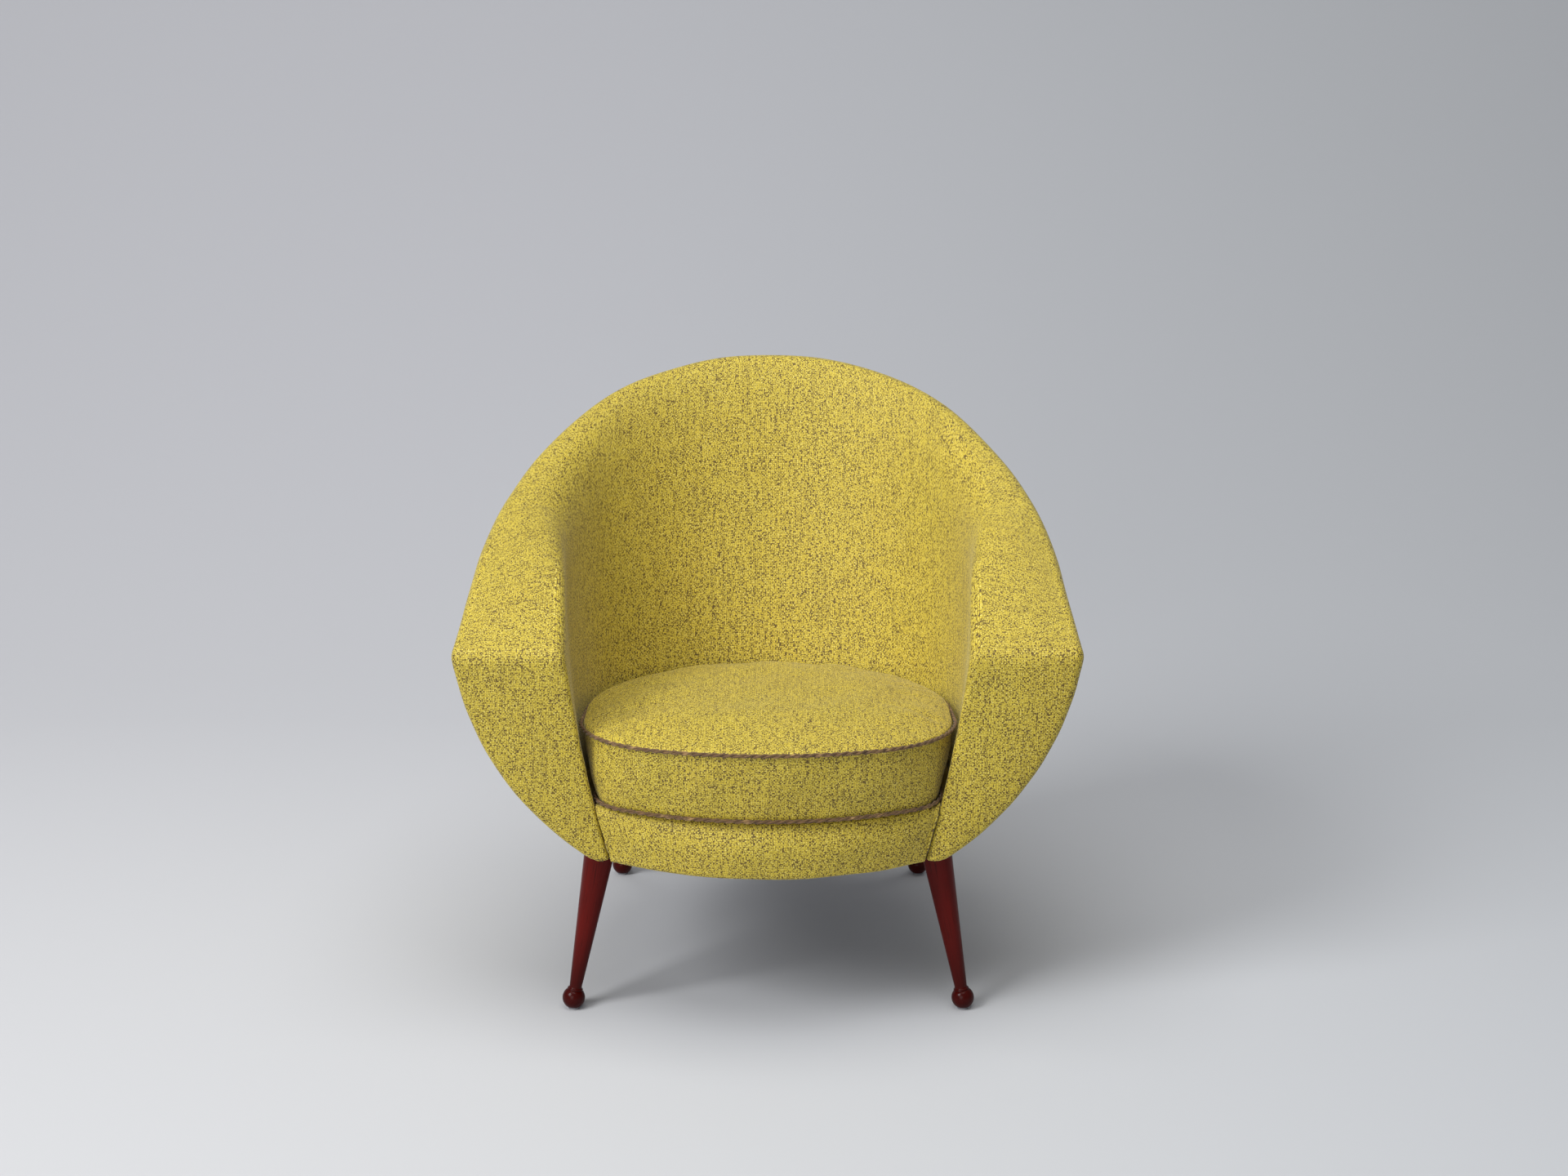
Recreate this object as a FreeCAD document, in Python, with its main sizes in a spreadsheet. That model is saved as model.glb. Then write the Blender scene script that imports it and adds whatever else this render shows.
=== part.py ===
import FreeCAD, Part
import math
import os

from FreeCAD import Placement, Rotation, Vector

# Upholstered tub armchair: a padded shell on four turned legs, with a loose seat cushion.
# Millimetres. +Z is up and the floor is at Z 0. The chair faces -Y, and X runs from side to side.
# The origin lies on the floor under the middle of the chair.

# Driving dimensions: alias, value
SIZES = [
    # The shell: the arm fronts stand in one upright plane, and the rim rises to the back in one sloping plane.
    ("arm_front_reach", 243.7),
    ("underside_height", 217.0),
    ("ridge_height", 489.0),
    ("back_top_reach", 325.3),
    ("back_top_height", 769.0),
    ("ridge_half_width", 393.5),
    ("foot_half_width", 222.0),
    ("side_bow", 35.0),
    ("back_rake", 56.0),
    ("back_bow", 10.0),
    ("rim_round", 14.0),
    ("arm_edge_round", 14.0),
    ("ridge_round", 10.0),
    # The seat space inside the shell, given by the thickness of the walls round it
    ("arm_top_width", 143.5),
    ("arm_foot_width", 25.0),
    ("space_side_bow", 5.0),
    ("back_foot_wall", 174.0),
    ("back_top_wall", 34.5),
    ("space_back_bow", 6.0),
    ("space_round", 14.0),
    ("space_edge_round", 9.0),
    # Fabric, wadding and padding
    ("cover_thickness", 2.5),
    ("wadding_thickness", 6.0),
    ("padding_thickness", 16.0),
    ("seat_clearance", 0.3),
    # The apron below the cushion
    ("apron_bow_reach", 309.7),
    ("apron_side_reach", 247.7),
    ("apron_belly", 3.0),
    ("apron_depth", 36.0),
    ("apron_padding", 10.0),
    ("apron_tuck", 0.5),
    # The wooden frame
    ("rail_height", 66.0),
    ("well_half_width", 168.0),
    ("well_back_setback", 123.0),
    ("side_rail_width", 56.0),
    ("rear_rail_width", 78.0),
    ("rail_joint_setback", 258.0),
    ("arm_board_thickness", 22.0),
    ("rib_thickness", 18.0),
    ("back_rib_spacing", 125.0),
    ("side_rib_reach", 32.7),
    ("hoop_thickness", 12.0),
    ("hoop_depth", 60.0),
    ("corner_block_length", 62.0),
    # Webbing, deck and dust cover
    ("strap_width", 50.0),
    ("strap_thickness", 1.5),
    ("strap_pitch", 58.0),
    ("cross_strap_pitch", 66.0),
    ("cross_strap_middle", 62.7),
    ("strap_lap", 20.0),
    ("deck_tuck", 6.0),
    ("dust_cover_thickness", 1.0),
    ("dust_cover_margin", 1.0),
    ("dust_cover_leg_gap", 2.0),
    # The legs: where the feet stand, and how far each pair leans
    ("front_foot_half_span", 251.5),
    ("front_foot_reach", -204.7),
    ("front_side_lean", 10.5),
    ("front_end_lean", -5.0),
    ("rear_foot_half_span", 218.0),
    ("rear_foot_setback", 64.0),
    ("rear_side_lean", 13.0),
    ("rear_end_lean", 23.5),
    ("leg_top_radius", 20.0),
    ("leg_neck_radius", 8.0),
    ("leg_neck_height", 15.0),
    ("collar_radius", 9.8),
    ("collar_height", 2.6),
    ("ball_radius", 14.6),
    ("ball_foot_radius", 8.0),
    ("leg_spare_length", 16.0),
    ("bolt_radius", 4.0),
    ("bolt_leg_depth", 40.0),
    ("bolt_rail_depth", 56.0),
    ("bolt_clearance", 0.2),
    ("glide_thickness", 2.0),
    ("glide_radius", 7.5),
    # The loose cushion
    ("cushion_front_height", 384.0),
    ("cushion_rear_height", 359.5),
    ("cushion_side_spread", 2.2),
    ("cushion_back_gap", 7.5),
    ("cushion_side_length", 22.0),
    ("cushion_front_reach", 319.7),
    ("cushion_front_radius", 400.0),
    ("cushion_foot_inset", 20.0),
    ("cushion_foot_front_inset", 12.0),
    ("cushion_foot_shift", 8.0),
    ("cushion_boxing_bulge", 1.5),
    ("cushion_crown", 13.0),
    ("cushion_belly", 5.0),
    ("cushion_cover_thickness", 2.0),
    ("piping_radius", 2.7),
    ("piping_gap", 0.4),
    # One overrun for everything that only cuts
    ("overrun", 60.0),
]

PIPING_SIDES = 6
LEG_SIDES = 24
# Where the ball of a leg has its rings, in degrees from its widest ring
BALL_RING_ANGLES = (-75.0, -50.0, -25.0, 0.0, 25.0)
STRAP_COUNT = 5
CROSS_STRAP_COUNT = 4
# The visible outline is drawn as this many straight parts and arcs
ARM_PARTS = 2
SIDE_ARCS = 4
BACK_ARCS = 12
# A hidden layer's side arc, its arm line and each of its levels are drawn in this many straight parts
PLAIN_ARC_PARTS = 4
PLAIN_LINE_PARTS = 3
PLAIN_LEVEL_PARTS = 2
# A hidden layer of the cushion has each of its arcs in this many straight parts
PLAIN_TURN_PARTS = 8
# Heights of the sections, as shares of the height from underside to ridge
LEVEL_SHARES = (0.0, 0.18, 0.42, 0.7)
SPACE_LEVEL_SHARES = (-0.1, 0.25, 0.6)
# A quarter round in steps: share of the radius drawn in, share of the radius below the top
ROUND_SHARES = ((0.0, 1.0), (0.293, 0.293), (1.0, 0.0))
# Where the seat space's side goes once it is past the rim, in the same shares
OVER_RIM_SHARES = (2.0, -1.0)
# The belly of the pieces behind the apron's padding, which have none
STRAIGHT_SHARES = (0.0, 0.0)
# The cushion's crown: share of the half width drawn in, share of the crown's height
CROWN_SHARES = ((0.05, 0.42), (0.17, 0.74), (0.42, 1.0))

doc = FreeCAD.newDocument("TubArmchair")
sheet = doc.addObject("Spreadsheet::Sheet", "Sizes")
for row, (alias, value) in enumerate(SIZES, start=1):
    sheet.set("A%d" % row, alias)
    sheet.set("B%d" % row, str(value))
    sheet.setAlias("B%d" % row, alias)
doc.recompute()


def size(alias):
    """The value of one cell of the sheet."""
    return float(sheet.get(alias))


arm_front = -size("arm_front_reach")
underside = size("underside_height")
ridge = size("ridge_height")
clear = size("seat_clearance")
overrun = size("overrun")
cover = size("cover_thickness")
outer_layers = cover + size("wadding_thickness")
inner_layers = cover + size("padding_thickness")
outer_seat = outer_layers + clear
inner_seat = inner_layers + clear
rail_top = underside + size("rail_height")
deck_bottom = rail_top + 2 * size("strap_thickness") + clear
deck_top = deck_bottom + cover
upholstery_foot = deck_top + clear
back_reach = size("back_top_reach")
back_foot_reach = back_reach - size("back_rake")

# The rim plane, and the line where it meets the plane of the underside, far in front of the chair
rim_rise = size("back_top_height") - ridge
rim_run = size("back_top_reach") + size("arm_front_reach")
rim_tilt = math.atan2(rim_rise, rim_run)
fan_reach = (ridge - underside) * rim_run / rim_rise


sub_parts = []


def add_feature(name, shape):
    """Adds one piece with its solid or solids to the document under its name."""
    feature = doc.addObject("Part::Feature", name)
    feature.Label = name
    feature.Shape = shape
    feature.Placement = Placement()
    sub_parts.append(feature)
    return feature


def one_solid(shape):
    """The largest solid of a boolean's result."""
    return max(shape.Solids, key=lambda solid: solid.Volume)


def bowed_arc(low, high, bow):
    """Centre and radius of the arc from low to high, given as (reach, height), that bows outward by bow."""
    run = high[0] - low[0]
    rise = high[1] - low[1]
    chord = math.hypot(run, rise)
    radius = (chord * chord / 4 + bow * bow) / (2 * bow)
    inward = radius - bow
    middle = ((low[0] + high[0]) / 2, (low[1] + high[1]) / 2)
    centre = (middle[0] - inward * rise / chord, middle[1] + inward * run / chord)
    return centre, radius


def reach_to(arc, start, height, tilt):
    """How far a ray from (start, height), rising by tilt, runs until it meets the arc."""
    (centre_reach, centre_height), radius = arc
    offset = (start - centre_reach, height - centre_height)
    along = offset[0] * math.cos(tilt) + offset[1] * math.sin(tilt)
    beyond = offset[0] ** 2 + offset[1] ** 2 - radius ** 2
    return -along + math.sqrt(along * along - beyond)


outer_side = bowed_arc((size("foot_half_width"), underside), (size("ridge_half_width"), ridge), size("side_bow"))
outer_back = bowed_arc((back_foot_reach, underside), (back_reach, size("back_top_height")), size("back_bow"))
space_side = bowed_arc(
    (size("foot_half_width") - size("arm_foot_width"), underside),
    (size("ridge_half_width") - size("arm_top_width"), ridge),
    size("space_side_bow"),
)
space_back = bowed_arc(
    (back_foot_reach - size("back_foot_wall"), underside),
    (back_reach - size("back_top_wall"), size("back_top_height")),
    size("space_back_bow"),
)
# How far the arms run in towards the back, in degrees, at the underside and at the rim
SHELL_SPLAY = (-13.0, 6.2)
SPACE_SPLAY = (-17.0, -3.0)
# The back arc's radius as a share of its centre's distance from the arm line, at the underside and at the rim
SHELL_BACK_SHARES = (0.97, 0.877)
SPACE_BACK_SHARES = (0.99, 0.95)
# The side arc's radius as a share of the back arc's
SHELL_SIDE_SHARES = (1.6, 2.24)
SPACE_SIDE_SHARES = (1.2, 1.4)


def fan_tilt(height):
    """Tilt of the section plane that meets the arm fronts at this height."""
    return math.atan2(height - underside, fan_reach)


def between(low, high, share):
    """The value at a share of the way from low to high."""
    return low + (high - low) * share


class Section:
    """A section of the shell: half of its outline, in the plane that meets the arm fronts at height.

    The outline is a straight arm, a side arc and a back arc, each tangent to the next. Points are (x, run):
    run is the distance behind the arm fronts, measured in the tilted plane. A positive inset draws it in.
    """

    def __init__(self, height, tilt, width, depth, splay, side_share, back_share):
        self.height = height
        self.tilt = tilt
        self.splay = math.radians(splay)
        self.out = (math.cos(self.splay), math.sin(self.splay))
        self.along = (-math.sin(self.splay), math.cos(self.splay))
        self.start = (width, 0.0)
        arm_distance = width * self.out[0] - depth * self.out[1]
        back_radius = back_share * arm_distance / (1 - back_share * self.out[1])
        side_radius = side_share * back_radius
        self.side_radius = side_radius
        self.back_radius = back_radius
        self.back_centre = (0.0, depth - back_radius)
        foot = (
            width - side_radius * self.out[0] - self.back_centre[0],
            -side_radius * self.out[1] - self.back_centre[1],
        )
        along = foot[0] * self.along[0] + foot[1] * self.along[1]
        beyond = foot[0] ** 2 + foot[1] ** 2 - (side_radius - back_radius) ** 2
        travel = -along - math.sqrt(along * along - beyond)
        self.side_centre = (
            foot[0] + self.back_centre[0] + travel * self.along[0],
            foot[1] + self.back_centre[1] + travel * self.along[1],
        )

    def place(self, x, run):
        """A point of the outline in space."""
        return Vector(x, arm_front + run * math.cos(self.tilt), self.height + run * math.sin(self.tilt))

    def side(self, inset, angle):
        """A point of the side arc, at an angle from the X direction."""
        radius = self.side_radius - inset
        return (self.side_centre[0] + radius * math.cos(angle), self.side_centre[1] + radius * math.sin(angle))

    def back(self, inset, angle):
        """A point of the back arc, at an angle from the X direction."""
        radius = self.back_radius - inset
        return (radius * math.cos(angle), self.back_centre[1] + radius * math.sin(angle))

    def corner(self, inset, front):
        """Where the arm line, drawn in by inset, crosses the line at run front."""
        x = self.start[0] - inset * self.out[0]
        run = self.start[1] - inset * self.out[1]
        travel = (front - run) / self.along[1]
        return (x + travel * self.along[0], front)

    def closed_wire(self, inset, front, radius, plain):
        """The outline closed by a chord along the arm fronts, with rounded corners."""
        corner = self.corner(inset, front)
        tangent = radius * math.tan((math.pi / 2 + self.splay) / 2)
        centre = (corner[0] - tangent, front + radius)
        chord_end = (corner[0] - tangent, front)
        arm_start = (corner[0] + tangent * self.along[0], corner[1] + tangent * self.along[1])
        reach = math.hypot(corner[0] - centre[0], corner[1] - centre[1])
        bulge = (
            centre[0] + radius * (corner[0] - centre[0]) / reach,
            centre[1] + radius * (corner[1] - centre[1]) / reach,
        )
        return self.wire(inset, [("arc", chord_end, bulge, arm_start)], arm_start, chord_end, plain)

    def open_wire(self, inset, front, radius, reach_out, plain):
        """The outline carried on past the arm fronts, flared to break the arms' inner edges."""
        corner = self.corner(inset, front)
        arm_start = (corner[0] + radius * self.along[0], corner[1] + radius * self.along[1])
        flare = ((corner[0] + radius - arm_start[0]), (corner[1] - arm_start[1]))
        growth = (reach_out + front) / radius
        chord_end = (arm_start[0] + growth * flare[0], arm_start[1] + growth * flare[1])
        return self.wire(inset, [("line", chord_end, arm_start)], arm_start, chord_end, plain)

    @staticmethod
    def pieces(points, plain):
        """Lines from point to point, or arcs that each take three points."""
        if plain:
            return [("line", *ends) for ends in zip(points, points[1:])]
        return [("arc", *points[number : number + 3]) for number in range(0, len(points) - 1, 2)]

    def wire(self, inset, front_pieces, arm_start, chord_end, plain):
        """A closed wire of the right half's pieces, the back arcs, the left half mirrored, and the chord.

        For a hidden layer it is plain: a loop of points along the same outline.
        """
        turn = math.atan2(
            self.back_centre[1] - self.side_centre[1],
            self.back_centre[0] - self.side_centre[0],
        )
        arm_parts = PLAIN_LINE_PARTS if plain else ARM_PARTS
        side_parts = PLAIN_ARC_PARTS if plain else 2 * SIDE_ARCS
        back_parts = BACK_ARCS if plain else 2 * BACK_ARCS
        sides = [self.side(inset, between(self.splay, turn, part / side_parts)) for part in range(side_parts + 1)]
        arm = []
        for part in range(arm_parts + 1):
            arm.append(tuple(between(*ends, part / arm_parts) for ends in zip(arm_start, sides[0])))
        right = front_pieces + [("line", *ends) for ends in zip(arm, arm[1:])]
        right += self.pieces(sides, plain)
        left = [(kind, *[(-x, run) for x, run in reversed(points)]) for kind, *points in reversed(right)]
        step = (math.pi - 2 * turn) / back_parts
        back = self.pieces([self.back(inset, turn + part * step) for part in range(back_parts + 1)], plain)
        chord = ("line", (-chord_end[0], chord_end[1]), chord_end)
        outline = right + back + left + [chord]
        if plain:
            return [self.place(x, run) for kind, *points in outline for x, run in points[:-1]]
        edges = []
        for kind, *points in outline:
            placed = [self.place(x, run) for x, run in points]
            curve = Part.Arc(*placed) if kind == "arc" else Part.LineSegment(*placed)
            edges.append(curve.toShape())
        return Part.Wire(edges)


def triangle(*corners):
    """A flat facet."""
    return Part.Face(Part.makePolygon([*corners, corners[0]]))


def loft(outlines, plain_parts):
    """A solid through outlines: ruled between wires, or in flat facets between plain loops of points.

    Plain loops have each of their levels in plain_parts steps, and wires have 0.
    """
    if plain_parts == 0:
        return Part.makeLoft(outlines, True, True)
    faces = [triangle(*outlines[0]), triangle(*outlines[-1])]
    levels = [outlines[0]]
    for low, high in zip(outlines, outlines[1:]):
        for part in range(1, plain_parts + 1):
            share = part / plain_parts
            levels.append([foot + (head - foot) * share for foot, head in zip(low, high)])
    for low, high in zip(levels, levels[1:]):
        for number in range(len(low)):
            ends = (number - 1, number) if low[number].x + low[number - 1].x < 0 else (number, number - 1)
            first, second = ends
            faces.append(triangle(low[first], low[second], high[second]))
            faces.append(triangle(low[first], high[second], high[first]))
    faces = [face for face in faces if face.Area > 0]
    solid = Part.makeSolid(Part.makeShell(faces))
    if solid.Volume < 0:
        solid.reverse()
    return solid


def shell_section(height, tilt):
    """A section of the shell's outside."""
    share = (height - underside) / (ridge - underside)
    return Section(
        height,
        tilt,
        reach_to(outer_side, 0, height, 0),
        reach_to(outer_back, arm_front, height, tilt),
        between(*SHELL_SPLAY, share),
        between(*SHELL_SIDE_SHARES, share),
        between(*SHELL_BACK_SHARES, share),
    )


def space_section(height, tilt):
    """A section of the seat space."""
    share = (height - underside) / (ridge - underside)
    return Section(
        height,
        tilt,
        reach_to(space_side, 0, height, 0),
        reach_to(space_back, arm_front, height, tilt),
        between(*SPACE_SPLAY, share),
        between(*SPACE_SIDE_SHARES, share),
        between(*SPACE_BACK_SHARES, share),
    )


def shell_solid(side_inset, top_inset, front_inset, plain=True):
    """The shell without its seat space, drawn in at the side and back, at the rim and at the arm fronts."""
    round_radius = max(size("rim_round") - side_inset, size("rim_round") / 4)
    edge_radius = max(size("arm_edge_round") - front_inset, size("arm_edge_round") / 4)
    wires = []
    for share in LEVEL_SHARES:
        height = between(underside, ridge, share)
        section = shell_section(height, fan_tilt(height))
        wires.append(section.closed_wire(side_inset, front_inset, edge_radius, plain))
    for drawn_share, below_share in ROUND_SHARES:
        height = ridge - (top_inset + below_share * round_radius) / math.cos(rim_tilt)
        inset = side_inset + drawn_share * round_radius
        wires.append(shell_section(height, rim_tilt).closed_wire(inset, front_inset, edge_radius, plain))
    return loft(wires, PLAIN_LEVEL_PARTS if plain else 0)


def space_solid(growth, top_inset, front_inset, plain=True):
    """The seat space, grown into the wall, open above the rim and in front of the arms."""
    round_radius = max(size("space_round") - growth, size("space_round") / 4)
    edge_radius = max(size("space_edge_round") - front_inset, size("space_edge_round") / 4)
    wires = []
    for share in SPACE_LEVEL_SHARES:
        height = between(underside, ridge, share)
        section = space_section(height, fan_tilt(height))
        wires.append(section.open_wire(-growth, front_inset, edge_radius, overrun, plain))
    for drawn_share, below_share in ROUND_SHARES + (OVER_RIM_SHARES,):
        height = ridge - (top_inset + below_share * round_radius) / math.cos(rim_tilt)
        section = space_section(height, rim_tilt)
        inset = -growth - drawn_share * round_radius
        wires.append(section.open_wire(inset, front_inset, edge_radius, overrun, plain))
    return loft(wires, PLAIN_LEVEL_PARTS if plain else 0)


def block(low, high):
    """A box between two corners."""
    return Part.makeBox(high[0] - low[0], high[1] - low[1], high[2] - low[2], Vector(*low))


def above_fan(height):
    """All of the chair's room above the section plane that meets the arm fronts at this height."""
    tilt = fan_tilt(height)
    width = 2 * size("ridge_half_width") + 2 * overrun
    length = rim_run + 4 * overrun
    box = Part.makeBox(width, length, size("back_top_height"), Vector(-width / 2, -2 * overrun, 0))
    box.Placement = Placement(Vector(0, arm_front, height), Rotation(Vector(1, 0, 0), math.degrees(tilt)))
    return box


def behind(reach, low=0.0):
    """All of the chair's room behind a plane, from a height up."""
    side = size("ridge_half_width") + overrun
    return block((-side, reach, low), (side, size("back_top_reach") + 2 * overrun, size("back_top_height") + overrun))


def ridge_corner():
    """What the rounded ridge takes off the edge between the rim plane and the arm fronts."""
    radius = size("ridge_round")
    half_turn = (math.pi / 2 - rim_tilt) / 2
    tangent = radius * math.tan(half_turn)
    side = size("ridge_half_width") + overrun
    corner = Vector(-side, arm_front, ridge)
    low = corner + Vector(0, 0, -tangent)
    high = corner + Vector(0, tangent * math.cos(rim_tilt), tangent * math.sin(rim_tilt))
    centre = low + Vector(0, radius, 0)
    middle = centre + (corner - centre).normalize() * radius
    wire = Part.Wire([
        Part.LineSegment(corner, low).toShape(),
        Part.Arc(low, middle, high).toShape(),
        Part.LineSegment(high, corner).toShape(),
    ])
    return Part.Face(wire).extrude(Vector(2 * side, 0, 0))


# The upholstered shell, in layers around a hollow for the frame: the outside fabric is bonded to its wadding,
# and the inside fabric lies over the padding.
shell = shell_solid(0, 0, 0, False)
shell_in_cover = shell_solid(cover, cover, cover)
shell_in_wadding = shell_solid(outer_layers, cover, cover)
shell_in_padding = shell_solid(outer_layers, inner_layers, inner_layers)
space = space_solid(0, 0, 0, False)
space_in_cover = space_solid(cover, cover, cover)
space_in_padding = space_solid(inner_layers, inner_layers, inner_layers)

seam_height = ridge - 2 * size("rim_round")
seam_reach = arm_front + size("arm_edge_round")
below_deck = block(
    (-size("ridge_half_width"), arm_front + inner_layers, 0),
    (size("ridge_half_width"), size("back_top_reach"), upholstery_foot),
)
outer_skin_room = behind(seam_reach).cut(above_fan(seam_height))

wall = shell.cut(space).cut(ridge_corner())
wall_in_cover = shell_in_cover.cut(space_in_cover)
outside_cover = one_solid(shell.cut(shell_in_wadding).common(outer_skin_room))
inside_cover = one_solid(wall.cut(wall_in_cover).cut(outside_cover).cut(below_deck))

hollow = shell_in_padding.cut(space_in_padding)
tub_padding = one_solid(shell_in_wadding.cut(space_in_cover).cut(hollow).cut(below_deck))

add_feature("outside_cover", outside_cover)
add_feature("inside_cover", inside_cover)
add_feature("tub_padding", tub_padding)


def apron_solid(inset, top, back_reach, belly_shares=(0.0, 1.0, 0.0)):
    """The bowed apron under the cushion, drawn in by inset, up to a height and back to back_reach."""
    wires = []
    for number, belly_share in enumerate(belly_shares):
        height_share = number / (len(belly_shares) - 1)
        height = between(underside, top, height_share)
        half = reach_to(space_side, 0, height, 0) - size("apron_tuck") - inset
        side_reach = -size("apron_side_reach") + inset
        bow_reach = -size("apron_bow_reach") - belly_share * size("apron_belly") + inset
        right = Vector(half, side_reach, height)
        left = Vector(-half, side_reach, height)
        corners = [right, Vector(half, back_reach, height), Vector(-half, back_reach, height), left]
        edges = [Part.Arc(left, Vector(0, bow_reach, height), right).toShape()]
        edges += [Part.LineSegment(*ends).toShape() for ends in zip(corners, corners[1:])]
        wires.append(Part.Wire(edges))
    return Part.makeLoft(wires, True, True)


def side_block(sign, front, back, low, high):
    """A block on one side of the chair's middle, between two reaches and two heights."""
    side = sign * (size("ridge_half_width") + overrun)
    return block((min(0, side), front, low), (max(0, side), back, high))


well_back = back_reach - size("well_back_setback")


def well_prism(growth, front, low, high):
    """The open middle of the seat frame, grown at its sides and round back, from front backwards."""
    half = size("well_half_width") + growth
    turn = well_back - size("well_half_width")
    edges = [
        Part.LineSegment(Vector(-half, turn, low), Vector(-half, front, low)),
        Part.LineSegment(Vector(-half, front, low), Vector(half, front, low)),
        Part.LineSegment(Vector(half, front, low), Vector(half, turn, low)),
        Part.Arc(Vector(half, turn, low), Vector(0, turn + half, low), Vector(-half, turn, low)),
    ]
    wire = Part.Wire([edge.toShape() for edge in edges])
    return Part.Face(wire).extrude(Vector(0, 0, high - low))


# The apron: its fabric and padding over the bowed front rail
apron_back = arm_front + size("apron_depth")
rail_front = arm_front + inner_seat
apron_layers = cover + size("apron_padding")
under_apron = block(
    (-size("ridge_half_width"), rail_front, 0),
    (size("ridge_half_width"), apron_back + overrun, deck_bottom),
)
apron_in_cover = apron_solid(cover, deck_bottom, apron_back + overrun)
apron_hollow = apron_solid(apron_layers, deck_bottom, apron_back + overrun, STRAIGHT_SHARES)
add_feature("apron_cover", one_solid(apron_solid(0, deck_top, apron_back).cut([apron_in_cover, under_apron])))
add_feature("apron_padding", one_solid(apron_in_cover.cut(apron_hollow).cut(under_apron)))

# The seat frame: a bowed front rail, and a ring of two side rails and a rear rail
front_rail = apron_solid(apron_layers + clear, rail_top, rail_front, STRAIGHT_SHARES)
# The frame's room keeps clear of the padding, and of the outside fabric up to the rim
frame_room = shell_solid(outer_seat, inner_seat, inner_seat).common(shell_solid(outer_seat, cover, cover))
well = well_prism(0, rail_front, 0, ridge)
joint = back_reach - size("rail_joint_setback")
bolt_reach = size("bolt_rail_depth")
BOLT_ENDS = [(side, pair) for pair in ("front", "rear") for side in (-1, 1)]
ball_height = size("glide_thickness") + math.sqrt(size("ball_radius") ** 2 - size("ball_foot_radius") ** 2)


foot_reaches = {"front": size("front_foot_reach"), "rear": back_reach - size("rear_foot_setback")}


def leg_axis(side, pair):
    """The ball's centre of a leg and the direction in which the leg rises."""
    ball = Vector(side * size(pair + "_foot_half_span"), foot_reaches[pair], ball_height)
    side_run = math.tan(math.radians(size(pair + "_side_lean")))
    end_run = math.tan(math.radians(size(pair + "_end_lean")))
    return ball, Vector(-side * side_run, -end_run, 1).normalize()


def leg_length(pair):
    """The length along a leg from its ball's centre to the underside."""
    ball, axis = leg_axis(1, pair)
    return (underside - ball_height) / axis.z


def on_leg(side, pair, radius, low, high):
    """A cylinder on a leg's axis between two lengths, measured from the underside."""
    ball, axis = leg_axis(side, pair)
    return Part.makeCylinder(radius, high - low, ball + axis * (leg_length(pair) + low), axis)


bolt_bores = [
    on_leg(side, pair, size("bolt_radius") + size("bolt_clearance"), -overrun, bolt_reach + clear)
    for side, pair in BOLT_ENDS
]
side_ring = frame_room.common(well_prism(size("side_rail_width"), rail_front, underside, rail_top)).cut(well)
rear_ring = frame_room.common(well_prism(size("rear_rail_width"), rail_front, underside, rail_top)).cut(well)
rear_rail = one_solid(rear_ring.common(behind(joint)).cut(bolt_bores))
add_feature("front_seat_rail", front_rail)
add_feature("rear_seat_rail", rear_rail)
side_rails = {}
for name, sign in (("left_seat_rail", -1), ("right_seat_rail", 1)):
    side_rails[sign] = one_solid(side_ring.common(side_block(sign, rail_front, joint, 0, ridge)).cut(bolt_bores))
    add_feature(name, side_rails[sign])

# Glued corner blocks where the front rail meets the side rails
for name, sign in (("left_corner_block", -1), ("right_corner_block", 1)):
    corner = Vector(sign * size("well_half_width"), rail_front, underside)
    length = size("corner_block_length")
    outline = Part.makePolygon([
        corner,
        corner + Vector(0, length, 0),
        corner + Vector(-sign * length, 0, 0),
        corner,
    ])
    add_feature(name, Part.Face(outline).extrude(Vector(0, 0, rail_top - underside)))

# The room that the frame has inside the wall: outside the seat frame, the webbing and the deck
strap_top = rail_top + 2 * size("strap_thickness")
tuck = size("deck_tuck")
above_deck = behind(arm_front - overrun, upholstery_foot)
space_above_deck = space_solid(inner_seat, inner_seat, inner_seat).common(above_deck)
deck_slab = block(
    (-size("ridge_half_width"), apron_back + clear, deck_bottom),
    (size("ridge_half_width"), size("back_top_reach"), deck_top),
)
deck_slot = behind(rail_front, strap_top).cut(above_deck)
deck_room = space_solid(tuck + clear, inner_seat, inner_seat).common(deck_slot)
webbing_room = well_prism(size("strap_lap") + clear, rail_front, 0, strap_top + clear)
wall_hollow = frame_room.cut([space_above_deck, deck_room, webbing_room, rear_rail, *side_rails.values()])
hoop_foot = ridge - size("hoop_depth") - inner_seat
above_hoop_foot = above_fan(hoop_foot)

# Arm boards: shaped boards behind the padded arm fronts, on the outside of the side rails
board_back = rail_front + size("arm_board_thickness")
for name, sign in (("left_arm_board", -1), ("right_arm_board", 1)):
    board = wall_hollow.common(side_block(sign, rail_front, board_back, underside, size("back_top_height")))
    add_feature(name, one_solid(board))

# The rim hoop: laminated wood, bent round the back along the outside of the wall
hoop_inside = shell_solid(outer_seat + size("hoop_thickness"), -overrun, -overrun)
rim_hoop = one_solid(frame_room.cut(hoop_inside).common(behind(board_back)).common(above_hoop_foot))
add_feature("rim_hoop", rim_hoop)


def rib(name, low, high):
    """A rib board across the wall, from the seat frame up to the hoop."""
    top = size("back_top_height")
    board = wall_hollow.common(block((*low, underside), (*high, top)))
    add_feature(name, one_solid(board.cut(rim_hoop).cut(above_hoop_foot)))


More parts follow.
